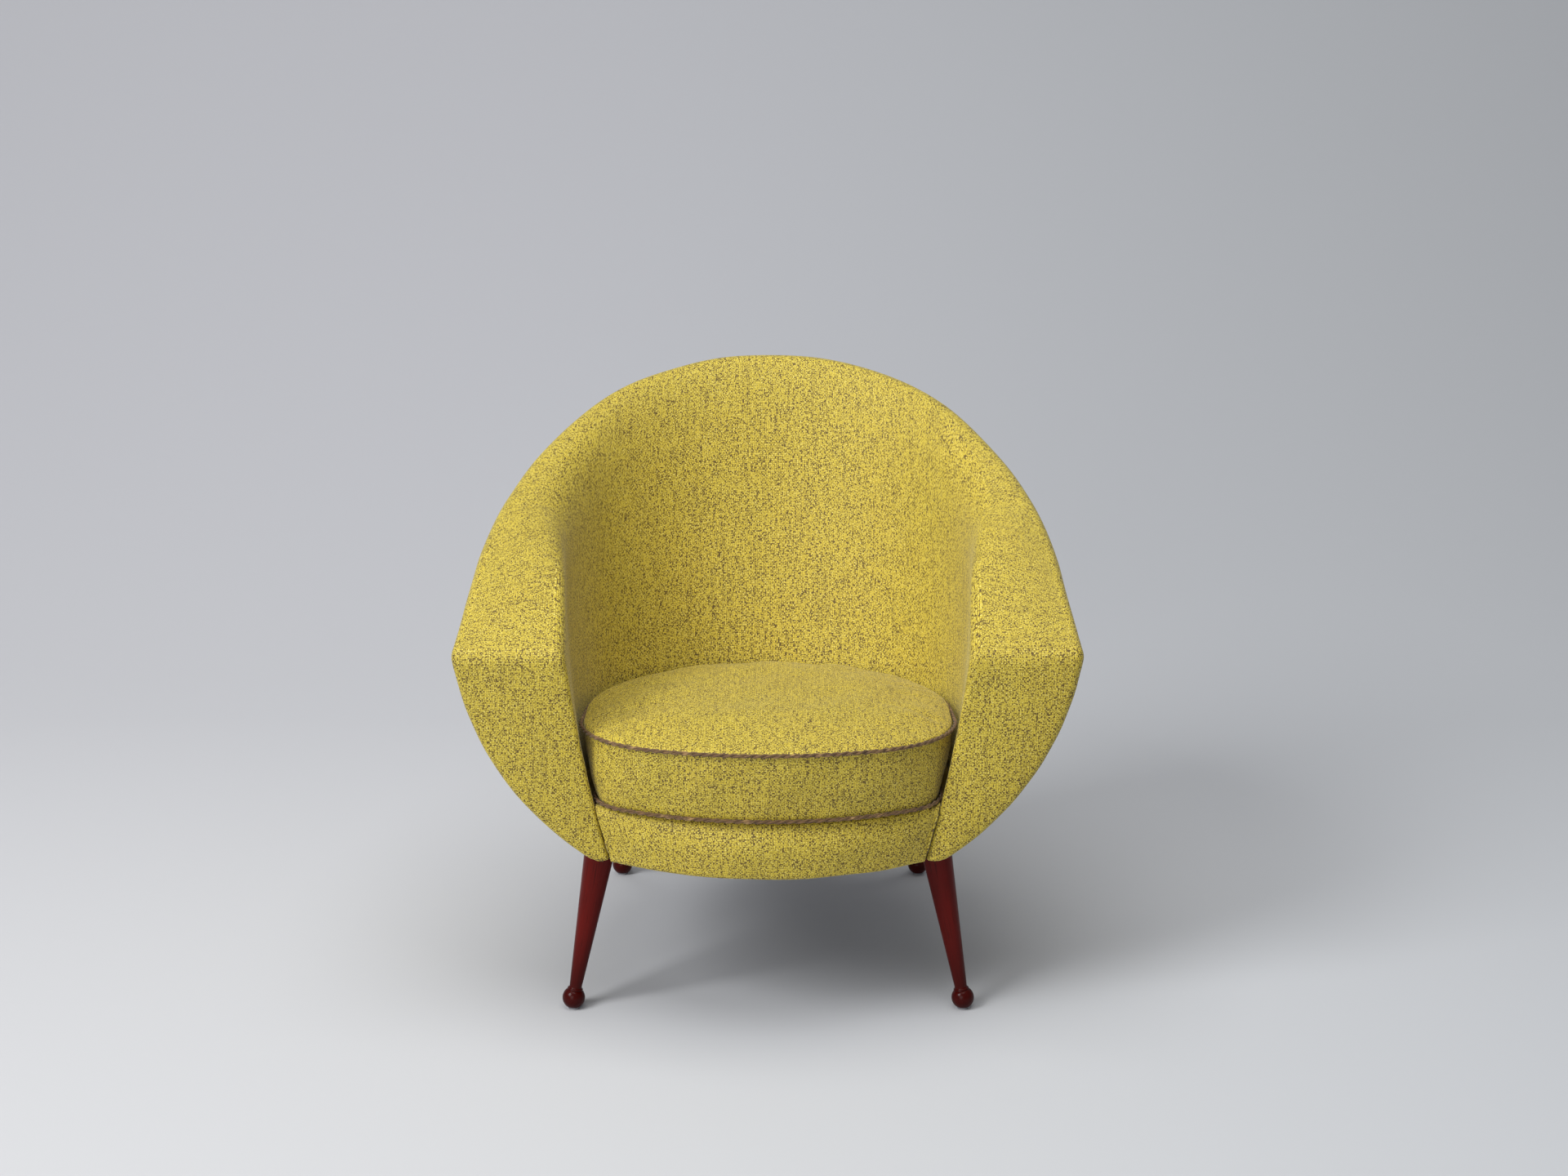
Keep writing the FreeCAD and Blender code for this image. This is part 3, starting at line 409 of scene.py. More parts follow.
def set_coordinates(mesh, points):
    """Puts an array of points into the mesh's vertices."""
    mesh.vertices.foreach_set("co", points.reshape(-1).astype(np.float32))
    mesh.update()


def vertex_normals(mesh):
    """The mesh's vertex normals as an array."""
    normals = np.empty(len(mesh.vertices) * 3, np.float32)
    mesh.vertices.foreach_get("normal", normals)
    return normals.reshape(-1, 3).astype(float)


def move_out(mesh, distance):
    """Moves each vertex along its normal by its distance."""
    set_coordinates(mesh, coordinates(mesh) + vertex_normals(mesh) * distance[:, None])


def face_outwards(piece, fill=False):
    """Turns the faces of a closed piece outwards, after its open poles are filled where asked."""
    work = bmesh.new()
    work.from_mesh(piece.data)
    if fill:
        bmesh.ops.holes_fill(work, edges=work.edges)
    bmesh.ops.recalc_face_normals(work, faces=work.faces)
    work.to_mesh(piece.data)
    work.free()


def turn_outwards(piece):
    """Turns the faces of an open sheet round where its widest point faces inwards."""
    points, normals = coordinates(piece.data), vertex_normals(piece.data)
    wide = np.argmax(np.abs(points[:, 0]))
    if points[wide, 0] * normals[wide, 0] < 0:
        piece.data.flip_normals()


def bake_modifiers(piece):
    """Replaces the piece's mesh by what its modifiers make of it."""
    graph = bpy.context.evaluated_depsgraph_get()
    made = bpy.data.meshes.new_from_object(piece.evaluated_get(graph))
    piece.modifiers.clear()
    piece.data = made


def thicken(piece, thickness, offset=-1):
    """Gives a sheet its thickness: inwards with offset -1, to both sides with offset 0."""
    wall = piece.modifiers.new("Thickness", "SOLIDIFY")
    wall.thickness = thickness
    wall.offset = offset
    return piece


# Materials


class Wire:
    """A socket or a number in a material: sums and products of wires add Math nodes."""

    def __init__(self, paint, socket):
        self.paint, self.socket = paint, socket

    def __add__(self, other):
        return self.paint.math("ADD", self, other)

    def __sub__(self, other):
        return self.paint.math("SUBTRACT", self, other)

    def __rsub__(self, other):
        return self.paint.math("SUBTRACT", other, self)

    def __mul__(self, other):
        return self.paint.math("MULTIPLY", self, other)

    __radd__ = __add__
    __rmul__ = __mul__


class Paint:
    """A material and its nodes."""

    def __init__(self, name):
        self.material = bpy.data.materials.new(name)
        self.material.use_nodes = True
        self.tree = self.material.node_tree
        self.tree.nodes.clear()

    def node(self, kind, settings=None, **sockets):
        """A node of a kind, its settings first, then the values or wires of its sockets.

        A socket is named with underscores for its spaces, or numbered as i0, i1 and so on.
        """
        node = self.tree.nodes.new(kind)
        for key, value in (settings or {}).items():
            setattr(node, key, value)
        for key, value in sockets.items():
            place = int(key[1:]) if key.startswith("i") else key.replace("_", " ")
            self.feed(node.inputs[place], value)
        return node

    def feed(self, socket, value):
        """Sets a socket to a value, or links a wire to it."""
        if isinstance(value, Wire):
            self.tree.links.new(value.socket, socket)
        else:
            socket.default_value = value

    def wire(self, node, output=0):
        """One output of a node."""
        return Wire(self, node.outputs[output])

    def math(self, operation, *values):
        """A Math node on numbers or wires."""
        sockets = {"i%d" % number: value for number, value in enumerate(values)}
        return self.wire(self.node("ShaderNodeMath", {"operation": operation}, **sockets))

    def sine(self, value):
        """The sine of a wire."""
        return self.math("SINE", value)

    def smooth(self, value, low, high):
        """0 below low, 1 above high, and a smooth step between."""
        settings = {"interpolation_type": "SMOOTHSTEP"}
        node = self.node("ShaderNodeMapRange", settings, Value=value, From_Min=low, From_Max=high)
        return self.wire(node)

    def mix(self, share, low, high):
        """A mix of two colours: low at share 0, high at share 1."""
        node = self.node("ShaderNodeMix", {"data_type": "RGBA"}, i0=share, i6=low, i7=high)
        return self.wire(node, 2)

    def fabric_place(self):
        """The piece's own texture places, in metres along its threads."""
        return self.wire(self.node("ShaderNodeUVMap", {"uv_map": "UVMap"}))

    def object_place(self):
        """Object coordinates, in metres."""
        return self.wire(self.node("ShaderNodeTexCoord"), 3)

    def parts(self, vector):
        """The x, y and z of a vector."""
        node = self.node("ShaderNodeSeparateXYZ", i0=vector)
        return [self.wire(node, number) for number in range(3)]

    def scaled(self, vector, x, y, z=1.0):
        """A vector with its parts scaled."""
        node = self.node("ShaderNodeVectorMath", {"operation": "MULTIPLY"}, i0=vector, i1=(x, y, z))
        return self.wire(node)

    def noise(self, vector, scale, detail=2.0, roughness=0.5):
        """Soft noise, about 0.3 to 0.7, whose patches are 1 / scale wide."""
        sockets = {"Vector": vector, "Scale": scale, "Detail": detail, "Roughness": roughness}
        return self.wire(self.node("ShaderNodeTexNoise", **sockets))

    def chance(self, across, along):
        """A random number from 0 to 1 for each whole step across and along."""
        cell = self.node("ShaderNodeCombineXYZ", i0=self.math("FLOOR", across), i1=self.math("FLOOR", along))
        settings = {"noise_dimensions": "2D"}
        return self.wire(self.node("ShaderNodeTexWhiteNoise", settings, Vector=self.wire(cell)))

    def bump(self, height, strength, distance):
        """A normal that makes a height from 0 to 1 stand out by a distance."""
        node = self.node("ShaderNodeBump", Height=height, Strength=strength, Distance=distance)
        return self.wire(node)

    def finish(self, **sockets):
        """The principled shader with these sockets, as the material's surface."""
        shader = self.node("ShaderNodeBsdfPrincipled")
        for key, value in sockets.items():
            self.feed(shader.inputs[key.replace("_", " ")], value)
        output = self.node("ShaderNodeOutputMaterial")
        self.tree.links.new(shader.outputs[0], output.inputs[0])
        return self.material


def linear(red, green, blue):
    """An 8-bit display colour as a linear one."""
    parts = [part / 255 for part in (red, green, blue)]
    parts = [part / 12.92 if part <= 0.04045 else ((part + 0.055) / 1.055) ** 2.4 for part in parts]
    return (*parts, 1.0)


def tweed_material(looks):
    """A basket weave of light yellow yarns with olive and brown flecks.

    The warp is sin(2 pi u / p) and the weft sin(2 pi v / p), with a little wander. Where their product is
    high the weft lies over the warp. Flecks are noise drawn out along the upper yarn, thicker in upright
    clusters, with a chance of their own at each crossing. The gaps between the yarns, where the product is
    near 0, are darkened as painted shade.
    """
    paint = Paint("basket weave tweed")
    place = paint.fabric_place()
    u, v, _ = paint.parts(place)
    turn = 2 * math.pi / looks.weave_pitch
    wander = paint.noise(place, 160.0) * 1.6
    warp = paint.sine(u * turn + wander)
    weft = paint.sine(v * turn + wander)
    over = paint.smooth(warp * weft, -0.5, 0.5)
    knot = paint.smooth(paint.math("ABSOLUTE", warp * weft), 0.02, 0.55)
    # Flecks, dark and light
    across = paint.noise(paint.scaled(place, 290.0, 760.0), 1.0, 1.0)
    along = paint.noise(paint.scaled(place, 760.0, 290.0), 1.0, 1.0)
    fleck = over * across + (1 - over) * (along + 0.055)
    cluster = paint.noise(paint.scaled(place, 260.0, 45.0), 1.0, 1.0)
    yarns = 2 / looks.weave_pitch
    chance = paint.chance((u + wander * 0.0003) * yarns, v * yarns)
    dark = paint.smooth(fleck + cluster * 0.24 + chance * 0.14, 0.740, 0.796)
    light = paint.smooth(1 - fleck, 0.52, 0.70)
    # Slow changes: patches of the warmer yarn, and darker upright streaks
    patch = paint.noise(place, 9.0, 3.0)
    streak = paint.smooth(paint.noise(paint.scaled(place, 130.0, 7.0), 1.0, 2.0), 0.52, 0.72)
    fleck_colour = tuple(looks.fleck)
    yarn = paint.mix(patch, tuple(looks.yarn), tuple(looks.yarn_warm))
    yarn = paint.mix(light * 0.55, yarn, tuple(looks.yarn_light))
    yarn = paint.mix(dark * 0.92, yarn, fleck_colour)
    # Painted shade: the gaps between the yarns are darkened towards the fleck colour
    yarn = paint.mix((1 - knot) * 0.55, yarn, fleck_colour)
    yarn = paint.mix(streak * 0.17, yarn, fleck_colour)
    return paint.finish(
        Base_Color=yarn,
        Roughness=0.62,
        Sheen_Weight=0.26,
        Sheen_Roughness=0.3,
        Sheen_Tint=(1.0, 0.98, 0.80, 1.0),
        Specular_IOR_Level=0.55,
        Normal=paint.bump(knot * 0.7 + over * 0.3, 0.5, 0.0008),
    )


def cord_material(looks):
    """Brown twisted cord: fine fibres along each strand, and patches of lighter ones."""
    paint = Paint("piping cord")
    place = paint.fabric_place()
    fibre = paint.noise(paint.scaled(place, 90.0, 2600.0), 1.0, 2.0)
    patch = paint.noise(place, 60.0, 2.0)
    colour = paint.mix(paint.smooth(fibre, 0.42, 0.62), tuple(looks.cord_dark), tuple(looks.cord))
    colour = paint.mix(paint.smooth(patch, 0.55, 0.72) * 0.5, colour, tuple(looks.cord_light))
    return paint.finish(
        Base_Color=colour,
        Roughness=0.7,
        Sheen_Weight=0.2,
        Normal=paint.bump(fibre, 0.6, 0.0004),
    )


def lacquer_material(looks):
    """Dark mahogany under lacquer: grain and pores drawn out along the leg, and painted shade that darkens it
    towards the foot.
    """
    paint = Paint("lacquered mahogany")
    place = paint.fabric_place()
    pore = paint.noise(paint.scaled(place, 900.0, 22.0), 1.0, 3.0, 0.6)
    band = paint.noise(paint.scaled(place, 90.0, 6.0), 1.0, 2.0)
    # Painted shade: the legs are darkened towards the foot, where they stand in the chair's shadow near the
    # floor
    height = paint.parts(paint.object_place())[2]
    low = 1 - paint.smooth(height, 0.01, 0.13)
    dark_stain_and_foot_shade = tuple(looks.dark_stain_and_foot_shade)
    colour = paint.mix(band, tuple(looks.stain), tuple(looks.stain_light))
    colour = paint.mix(paint.smooth(pore, 0.56, 0.7) * 0.6, colour, dark_stain_and_foot_shade)
    colour = paint.mix(low * 0.6, colour, dark_stain_and_foot_shade)
    return paint.finish(
        Base_Color=colour,
        Roughness=0.34,
        Specular_IOR_Level=0.05,
        Coat_Weight=0.14,
        Coat_Roughness=0.06,
        Normal=paint.bump(pore, 0.05, 0.0003),
    )


def wood_material(looks):
    """Sawn beech for the hidden frame: noise drawn out along its grain."""
    paint = Paint("sawn beech")
    grain = paint.noise(paint.scaled(paint.object_place(), 30.0, 220.0, 220.0), 1.0, 3.0)
    colour = paint.mix(grain, tuple(looks.beech_dark), tuple(looks.beech))
    return paint.finish(Base_Color=colour, Roughness=0.7, Normal=paint.bump(grain, 0.2, 0.0004))


def cloth_material(name, dark, light, pitch):
    """A fine plain weave, sin(2 pi x / p) sin(2 pi y / p), with patches of its two colours."""
    paint = Paint(name)
    place = paint.object_place()
    x, y, _ = paint.parts(place)
    turn = 2 * math.pi / pitch
    weave = paint.sine(x * turn) * paint.sine(y * turn)
    patch = paint.noise(place, 60.0, 3.0)
    colour = paint.mix(paint.smooth(weave, -0.4, 0.4) * 0.5 + patch * 0.5, tuple(dark), tuple(light))
    return paint.finish(Base_Color=colour, Roughness=0.9, Normal=paint.bump(weave, 0.4, 0.0004))


def metal_material():
    """Dull zinc plated steel, unevenly rough."""
    paint = Paint("zinc plated steel")
    rough = paint.noise(paint.object_place(), 200.0) * 0.3 + 0.25
    return paint.finish(Base_Color=linear(170, 170, 174), Metallic=1.0, Roughness=rough)


def stage_material(looks):
    """The paper sweep, with painted shade: its colour is palest on the floor and greyer up the wall and to
    the right, where less lamp light falls.
    """
    paint = Paint("paper sweep")
    x, y, _ = paint.parts(paint.object_place())
    # Painted shade: the one paper is darkened up the wall and to the right, where the lamps light it less
    colour = paint.mix(paint.smooth(y, -1.5, 3.0), tuple(looks.floor), tuple(looks.wall))
    colour = paint.mix(paint.smooth(x, -1.2, 1.6) * 0.85, colour, tuple(looks.right_side_painted_shade))
    return paint.finish(Base_Color=colour, Roughness=0.9, Specular_IOR_Level=0.1)


# Sizes and colours that a user may change


def colour_property(name, description, *shade):
    """A colour that a user may change, its default as an 8-bit display colour."""
    return FloatVectorProperty(
        name=name,
        description=description,
        default=linear(*shade),
        size=4,
        min=0,
        max=1,
        subtype="COLOR",
    )


def length_property(name, description, value):
    """A length that a user may change, in metres."""
    return FloatProperty(name=name, description=description, default=value, min=0, unit="LENGTH")


class ChairLooks(bpy.types.PropertyGroup):
    """Sizes and colours of the covers, the cords, the legs, the cloths inside and the studio."""

    weave_pitch: length_property("Weave pitch", "Distance between yarns of the tweed", 0.0040)
    seam_depth: length_property("Seam depth", "How far the outside cover dips into its seams", 0.0016)
    rim_crown: length_property("Rim crown", "How far the rim stands up between its edges", 0.0045)
    apron_belly: length_property("Apron belly", "How far the apron swells below the cushion", 0.004)
    cushion_rise: length_property("Cushion rise", "Height of the crown before the cushion is filled", 0.015)
    cord_radius: length_property("Cord radius", "Radius of the twisted piping cord", CORD_RADIUS)
    strands: IntProperty(name="Strands", description="Strands of the piping cord", default=2, min=2, max=4)
    yarn: colour_property("Yarn", "Main colour of the tweed", 218, 196, 58)
    yarn_warm: colour_property("Warm yarn", "Second colour of the tweed", 216, 190, 54)
    yarn_light: colour_property("Light yarn", "Light flecks of the tweed", 250, 240, 150)
    fleck: colour_property("Fleck", "Dark flecks of the tweed", 70, 46, 2)
    cord: colour_property("Cord", "Main colour of the piping cord", 126, 92, 48)
    cord_dark: colour_property("Dark cord", "Shade between the cord's fibres", 62, 40, 16)
    cord_light: colour_property("Light cord", "Lighter fibres of the cord", 204, 166, 108)
    stain: colour_property("Stain", "Main colour of the legs", 72, 9, 6)
    stain_light: colour_property("Light stain", "Lighter grain of the legs", 98, 16, 10)
    # The dark stain colours the pores, and is also painted shade towards the feet
    dark_stain_and_foot_shade: colour_property("Dark stain", "Pores and feet of the legs", 26, 4, 3)
    deck: colour_property("Deck cloth", "Light yarns of the deck cloth", 168, 146, 86)
    deck_dark: colour_property("Dark deck cloth", "Dark yarns of the deck cloth", 120, 100, 52)
    jute: colour_property("Webbing", "Light yarns of the jute webbing", 168, 138, 92)
    jute_dark: colour_property("Dark webbing", "Dark yarns of the jute webbing", 112, 88, 52)
    dust: colour_property("Dust cover", "Light yarns of the dust cover", 46, 46, 50)
    dust_dark: colour_property("Dark dust cover", "Dark yarns of the dust cover", 24, 24, 26)
    beech: colour_property("Beech", "Light grain of the hidden frame", 222, 190, 148)
    beech_dark: colour_property("Dark beech", "Dark grain of the hidden frame", 190, 150, 108)
    # Colours of the one paper sweep: the greyer wall and right side are painted shade
    floor: colour_property("Floor", "Colour of the floor", 197, 198, 200)
    wall: colour_property("Wall", "Colour of the backdrop", 193, 194, 199)
    right_side_painted_shade: colour_property("Right side", "Colour of the sweep's right side", 190, 193, 197)


# Pieces


def folded_foot(fold, turned_in):
    """Rows of a cover's foot, as heights and insets: turned in under the frame, then up round its fold."""
    rows = [(UNDERSIDE, inset) for inset in turned_in]
    angle = np.radians([90, 60, 30])
    return rows + [(UNDERSIDE + fold * (1 - math.sin(a)), fold * (1 - math.cos(a))) for a in angle]


def wall_rows():
    """Heights, insets and front insets of the rows, from the fold under the frame to the top of the rim.

    The quarter rounds have inset r (1 - cos a) and stand r (1 - sin a) below the rim.
    """
    foot = folded_foot(WALL_FOLD, WALL_TURNED_IN)
    low = np.linspace(UNDERSIDE + WALL_FOLD, DECK_TOP, 14)
    round_foot = RIDGE - RIM_ROUND / math.cos(RIM_TILT)
    seam = SEAM_HEIGHT + np.array(ROWS_BY_SEAM)
    high = np.concatenate([np.linspace(DECK_TOP, seam[0] - 0.004, 36)[1:], seam, [round_foot]])
    walls = [(height, 0.0) for height in np.concatenate([low, high])]
    angle = np.radians([15, 30, 45, 60, 75, 90])
    drop = RIM_ROUND * (1 - np.sin(angle)) / math.cos(RIM_TILT)
    rim = [(RIDGE - below, RIM_ROUND * (1 - math.cos(a))) for below, a in zip(drop, angle)]
    height, inset = np.array(foot + walls + rim).T
    front = inset * RIDGE_ROUND / RIM_ROUND
    deck_row = len(foot) + len(low) - 1
    seam_row = int(np.argmin(np.abs(height - SEAM_HEIGHT)))
    return height, inset, front, deck_row, seam_row, round_foot


def wall_surfaces():
    """The padded wall's outer and inner surface as half grids, and the rows of the deck and the seam."""
    height, inset, front, deck_row, seam_row, round_foot = wall_rows()
    outer_tilt = np.arctan(RIM_SLOPE * np.clip((height - UNDERSIDE) / (round_foot - UNDERSIDE), 0, 1))
    inner_tilt = np.arctan(RIM_SLOPE * np.clip((height - DECK_TOP) / (round_foot - DECK_TOP), 0, 1))
    outer_edge = np.maximum(EDGE_ROUND - front, EDGE_ROUND / 4)
    inner_edge = np.maximum(INNER_ROUND - front, INNER_ROUND / 4)
    outer = Outline(SHELL, height, outer_tilt, inset, front, outer_edge)
    inner = Outline(SPACE, height, inner_tilt, -inset, front, inner_edge)
    middle = (outer.chord_end(True) + inner.chord_end(False)) / 2
    outside = outer.half(middle, True)
    inside = inner.half(middle, False)
    # The arm fronts swell a little
    share = np.clip((height - UNDERSIDE) / (RIDGE - UNDERSIDE), 0, 1)[:, None]
    across = np.linspace(0, 1, CHORD + 1)
    swell = FRONT_SWELL * (1 - across**2) * np.sin(np.pi * share) ** 0.5
    for sheet in (outside, inside):
        sheet[:, : CHORD + 1, 1] -= swell
    return outside, inside, deck_row, seam_row


def seam_dip(rows, columns, seam_row, first):
    """How deep the fabric lies in its seams, 0 to 1: exp(-(s / w)^2) of the steps s from the seam.

    One seam runs along the seam's row from the first column on, and one up that column below the row.
    """
    row, column = np.arange(rows)[:, None], np.arange(columns)[None, :]
    level = np.exp(-(((row - seam_row) / 1.3) ** 2)) * (column >= first)
    upright = np.exp(-((column - first) ** 2.0)) * (row <= seam_row)
    return np.maximum(level, upright)


def cap_part(sheet, flip):
    """Half of an arm front, with its fabric's threads upright."""
    piece = sheet[:, : EDGE_END + 1]
    across = lengths(piece, 1) * (1 if flip else -1)
    return grid(piece, sheet[:, :1, 0] + across, piece[:, :, 2], flip)


def wall_part(sheet, rows, flip, reference):
    """The wall behind an arm front, its fabric laid out along one row, from the middle of the back."""
    along = lengths(sheet, 1)[reference]
    upright = lengths(sheet, 0)[:, sheet.shape[1] // 2][:, None]
    u = (along[-1] - along)[None, EDGE_END:]
    return grid(sheet[rows, EDGE_END:], u, upright[rows], flip)


def at_length(points, along, target):
    """The point of each row of points at a target length along it."""
    after = np.clip(np.sum(along < target, axis=1, keepdims=True), 1, along.shape[1] - 1)
    low = np.take_along_axis(along, after - 1, 1)
    high = np.take_along_axis(along, after, 1)
    share = ((target - low) / np.maximum(high - low, 1e-9))[:, :, None]
    ends = [np.take_along_axis(points, place[:, :, None], 1) for place in (after - 1, after)]
    return lerp(*ends, np.clip(share, 0, 1))


def soften_rim(inside, band, corner):
    """Rounds the rim's inner edge over, more and more towards the back.

    The Bezier curve P(t) = (1 - t)^2 W + 2 t (1 - t) C + t^2 B runs from W on the wall, round the corner C,
    to B across the rim.
    """
    rise = np.clip((corner[:, 2:] - SOFT_RIM_FOOT) / SOFT_RIM_RISE, 0, 1)
    rise = rise * rise * (3 - 2 * rise)
    wall = inside[:, CHORD:].transpose(1, 0, 2)
    across = band[:, ::-1]
    profile = np.concatenate([wall, across[:, 1:]], axis=1)
    along = lengths(profile, 1)
    top = along[:, wall.shape[1] - 1, None]
    width = along[:, -1:] - top
    start = top - lerp(*SOFT_RIM_DOWN, rise)
    end = top + np.minimum(lerp(*SOFT_RIM_ACROSS, rise), 0.96 * width)
    t = np.clip((along - start) / (end - start), 0, 1)[:, :, None]
    low, high = at_length(profile, along, start), at_length(profile, along, end)
    curve = (1 - t) ** 2 * low + 2 * t * (1 - t) * corner[:, None] + t**2 * high
    blend = np.clip(rise * 5, 0, 1)[:, :, None] * ((along > start) & (along < end))[:, :, None]
    profile = lerp(profile, curve, blend)
    inside[:, CHORD:] = profile[:, : wall.shape[1]].transpose(1, 0, 2)
    across[:] = profile[:, wall.shape[1] - 1 :]


def tub_covers(looks, tweed):
    """The outside cover, and the inside cover with the rim and the arm fronts, as two pieces.

    The rim is a band from the outer edge to the inner one with a crown, c sin(pi s).
    """
    outside, inside, deck_row, seam_row = wall_surfaces()
    dip = looks.seam_depth * seam_dip(*outside.shape[:2], seam_row, EDGE_END)
    outside -= facing(outside) * dip[:, :, None]
    share = np.linspace(0, 1, 2 * CHORD + 1)[None, :, None]
    band = lerp(outside[-1][CHORD:, None], inside[-1][CHORD:, None], share)
    span = np.linalg.norm(outside[-1] - outside[-1][CHORD], axis=1)[CHORD:, None]
    full = np.clip(span / CROWNED_WIDTH, 0, 1) ** 0.5
    band[:, :, 2] += looks.rim_crown * np.sin(np.pi * share[:, :, 0]) * full
    rim = Outline(SPACE, [RIDGE], [RIM_TILT], [0.0], [0.0], [INNER_ROUND])
    soften_rim(inside, band, rim.half(np.array([[outside[-1, 0, 0]]]), False)[0, CHORD:])
    length = lengths(band, 0)[:, CHORD]
    last = outside.shape[0]
    right = [
        cap_part(outside, True),
        cap_part(inside, False),
        wall_part(outside, slice(seam_row, last), True, seam_row),
        wall_part(inside, slice(deck_row, last), False, (deck_row + last) // 2),
        grid(band, (length[-1] - length)[:, None], lengths(band, 1), False),
    ]
    right += [mirrored(part) for part in right]
    skirt = [wall_part(outside, slice(0, seam_row + 1), True, seam_row // 2)]
    skirt += [mirrored(part) for part in skirt]
    inner = mesh_object("tub_inside_cover", right, "chair", ("inside_cover", "tub_padding"))
    outer = mesh_object("tub_outside_cover", skirt, "chair", ("outside_cover",))
    for piece in (inner, outer):
        turn_outwards(piece)
        move_out(piece.data, unevenness(coordinates(piece.data), TUB_WAVES))
        thicken(piece, COVER_THICKNESS)
        piece.data.materials.append(tweed)


def apron_cover(looks, tweed):
    """The bowed apron under the cushion, folded back over its padding at the top and under the frame below.

    Each row is an arc through the arm fronts, y = -(sqrt(r^2 - x^2) - sqrt(r^2 - h^2)), whose bow swells
    halfway up by the belly.
    """
    rows = folded_foot(APRON_FOLD, APRON_TURNED_IN)
    rows += [(height, 0.0) for height in np.linspace(UNDERSIDE + APRON_FOLD, DECK_TOP - APRON_BEND, 16)]
    bend = np.radians([15, 30, 45, 60, 75, 90])
    rows += [(DECK_TOP - APRON_BEND * (1 - math.sin(a)), APRON_BEND * (1 - math.cos(a))) for a in bend]
    height, inset = (part[:, None] for part in np.array(rows).T)
    half = reach_to(bowed_arc(*SPACE["side"]), 0, height, 0) - APRON_GAP
    share = np.sin(np.linspace(-np.pi / 2, np.pi / 2, 91))[None, :]
    x = half * share
    bow = APRON_BOW + looks.apron_belly * np.sin(np.pi * (height - UNDERSIDE) / (DECK_TOP - UNDERSIDE))
    radius = (half**2 + bow**2) / (2 * bow)
    y = APRON_FRONT + inset - (np.sqrt(np.maximum(radius**2 - x**2, 0)) - np.sqrt(radius**2 - half**2))
    # The upper half leans back under the cushion
    lean = np.clip((height - APRON_LEAN_FOOT) / (DECK_TOP - APRON_LEAN_FOOT), 0, 1) ** 2
    y += APRON_LEAN * lean * (1 - share**8)
    front = np.stack([x, y, height + 0 * x], axis=2)
    # The top runs back to the padding's edge, and the ends turn in behind the arm fronts
    back = np.repeat(front[-1:], 10, axis=0)
    back[:, :, 1] = lerp(back[:, :, 1], APRON_BACK, np.linspace(0.1, 1, 10)[:, None])
    sheet = np.concatenate([front, back])
    step = np.array([APRON_END_STEPS])
    ends = [np.repeat(sheet[:, side][:, None], 3, axis=1) for side in (0, -1)]
    for end, steps in zip(ends, (step, step[:, ::-1])):
        end[:, :, 1] = np.minimum(end[:, :, 1] + steps, np.maximum(APRON_BACK, end[:, :, 1]))
    sheet = np.concatenate([ends[0], sheet, ends[1]], axis=1)
    across, upright = lengths(sheet, 1), lengths(sheet, 0)
    part = grid(sheet, across[8] - across[8, -1] / 2, upright[:, sheet.shape[1] // 2][:, None], False)
    piece = mesh_object("apron_cover_fabric", [part], "chair", ("apron_cover", "apron_padding"))
    move_out(piece.data, unevenness(coordinates(piece.data), APRON_WAVES))
    thicken(piece, COVER_THICKNESS)
    piece.data.materials.append(tweed)


def cushion_loop(foot_share, inset, steps=24):
    """The cushion's outline in plan at a share of the way from its top seam to its bottom seam.

    A half circle at the back and an arc at the front, joined by two corner arcs tangent to the front. The
    foot is a little smaller, and the inset draws the whole outline in.
    """
    half = CUSHION_HALF - foot_share * FOOT_NARROWER - inset
    centre = CUSHION_CENTRE - foot_share * FOOT_FORWARD
    radius = CUSHION_FRONT_RADIUS - inset
    front = CUSHION_FRONT + foot_share * FOOT_FRONT_IN + inset
    front_centre = front + radius
    turn = centre - lerp(*CUSHION_STRAIGHT, foot_share)
    back = front_centre - turn
    corner_radius = (radius**2 - half**2 - back**2) / (2 * (radius - half))
    corner = half - corner_radius
    lean = math.atan2(corner, back)
    quarter = np.pi / 2
    arcs = (
        (0, centre, half, 0, 2 * quarter, 4 * steps),
        (-corner, turn, corner_radius, 2 * quarter, 3 * quarter - lean, steps),
        (0, front_centre, radius, 3 * quarter - lean, 3 * quarter + lean, 2 * steps),
        (corner, turn, corner_radius, 3 * quarter + lean, 4 * quarter, steps),
    )
    points = []
    for x, y, r, first, last, count in arcs:
        angle = np.linspace(first, last, count + 1)
        points.append(np.stack([x + r * np.cos(angle), y + r * np.sin(angle)], axis=1))
    loop = np.concatenate(points)
    keep = np.linalg.norm(loop - np.roll(loop, 1, axis=0), axis=1) > 1e-6
    loop = loop[keep]
    # Even steps along the closed outline
    closed, travel = closed_travel(loop)
    even = np.linspace(0, travel[-1], 12 * steps + 1)[:-1]
    return np.stack([np.interp(even, travel, closed[:, axis]) for axis in (0, 1)], axis=1)


def seam_place(loop, foot_share, lift):
    """Points of an outline in space: the seams tilt from the top seam's slope to level at the foot."""
    tilt = CUSHION_TILT * (1 - foot_share)
    height = lerp(SEAM_TOP, SEAM_FOOT, foot_share) + lift - loop[:, 1] * math.sin(tilt)
    return np.stack([loop[:, 0], loop[:, 1] * math.cos(tilt), height], axis=1)


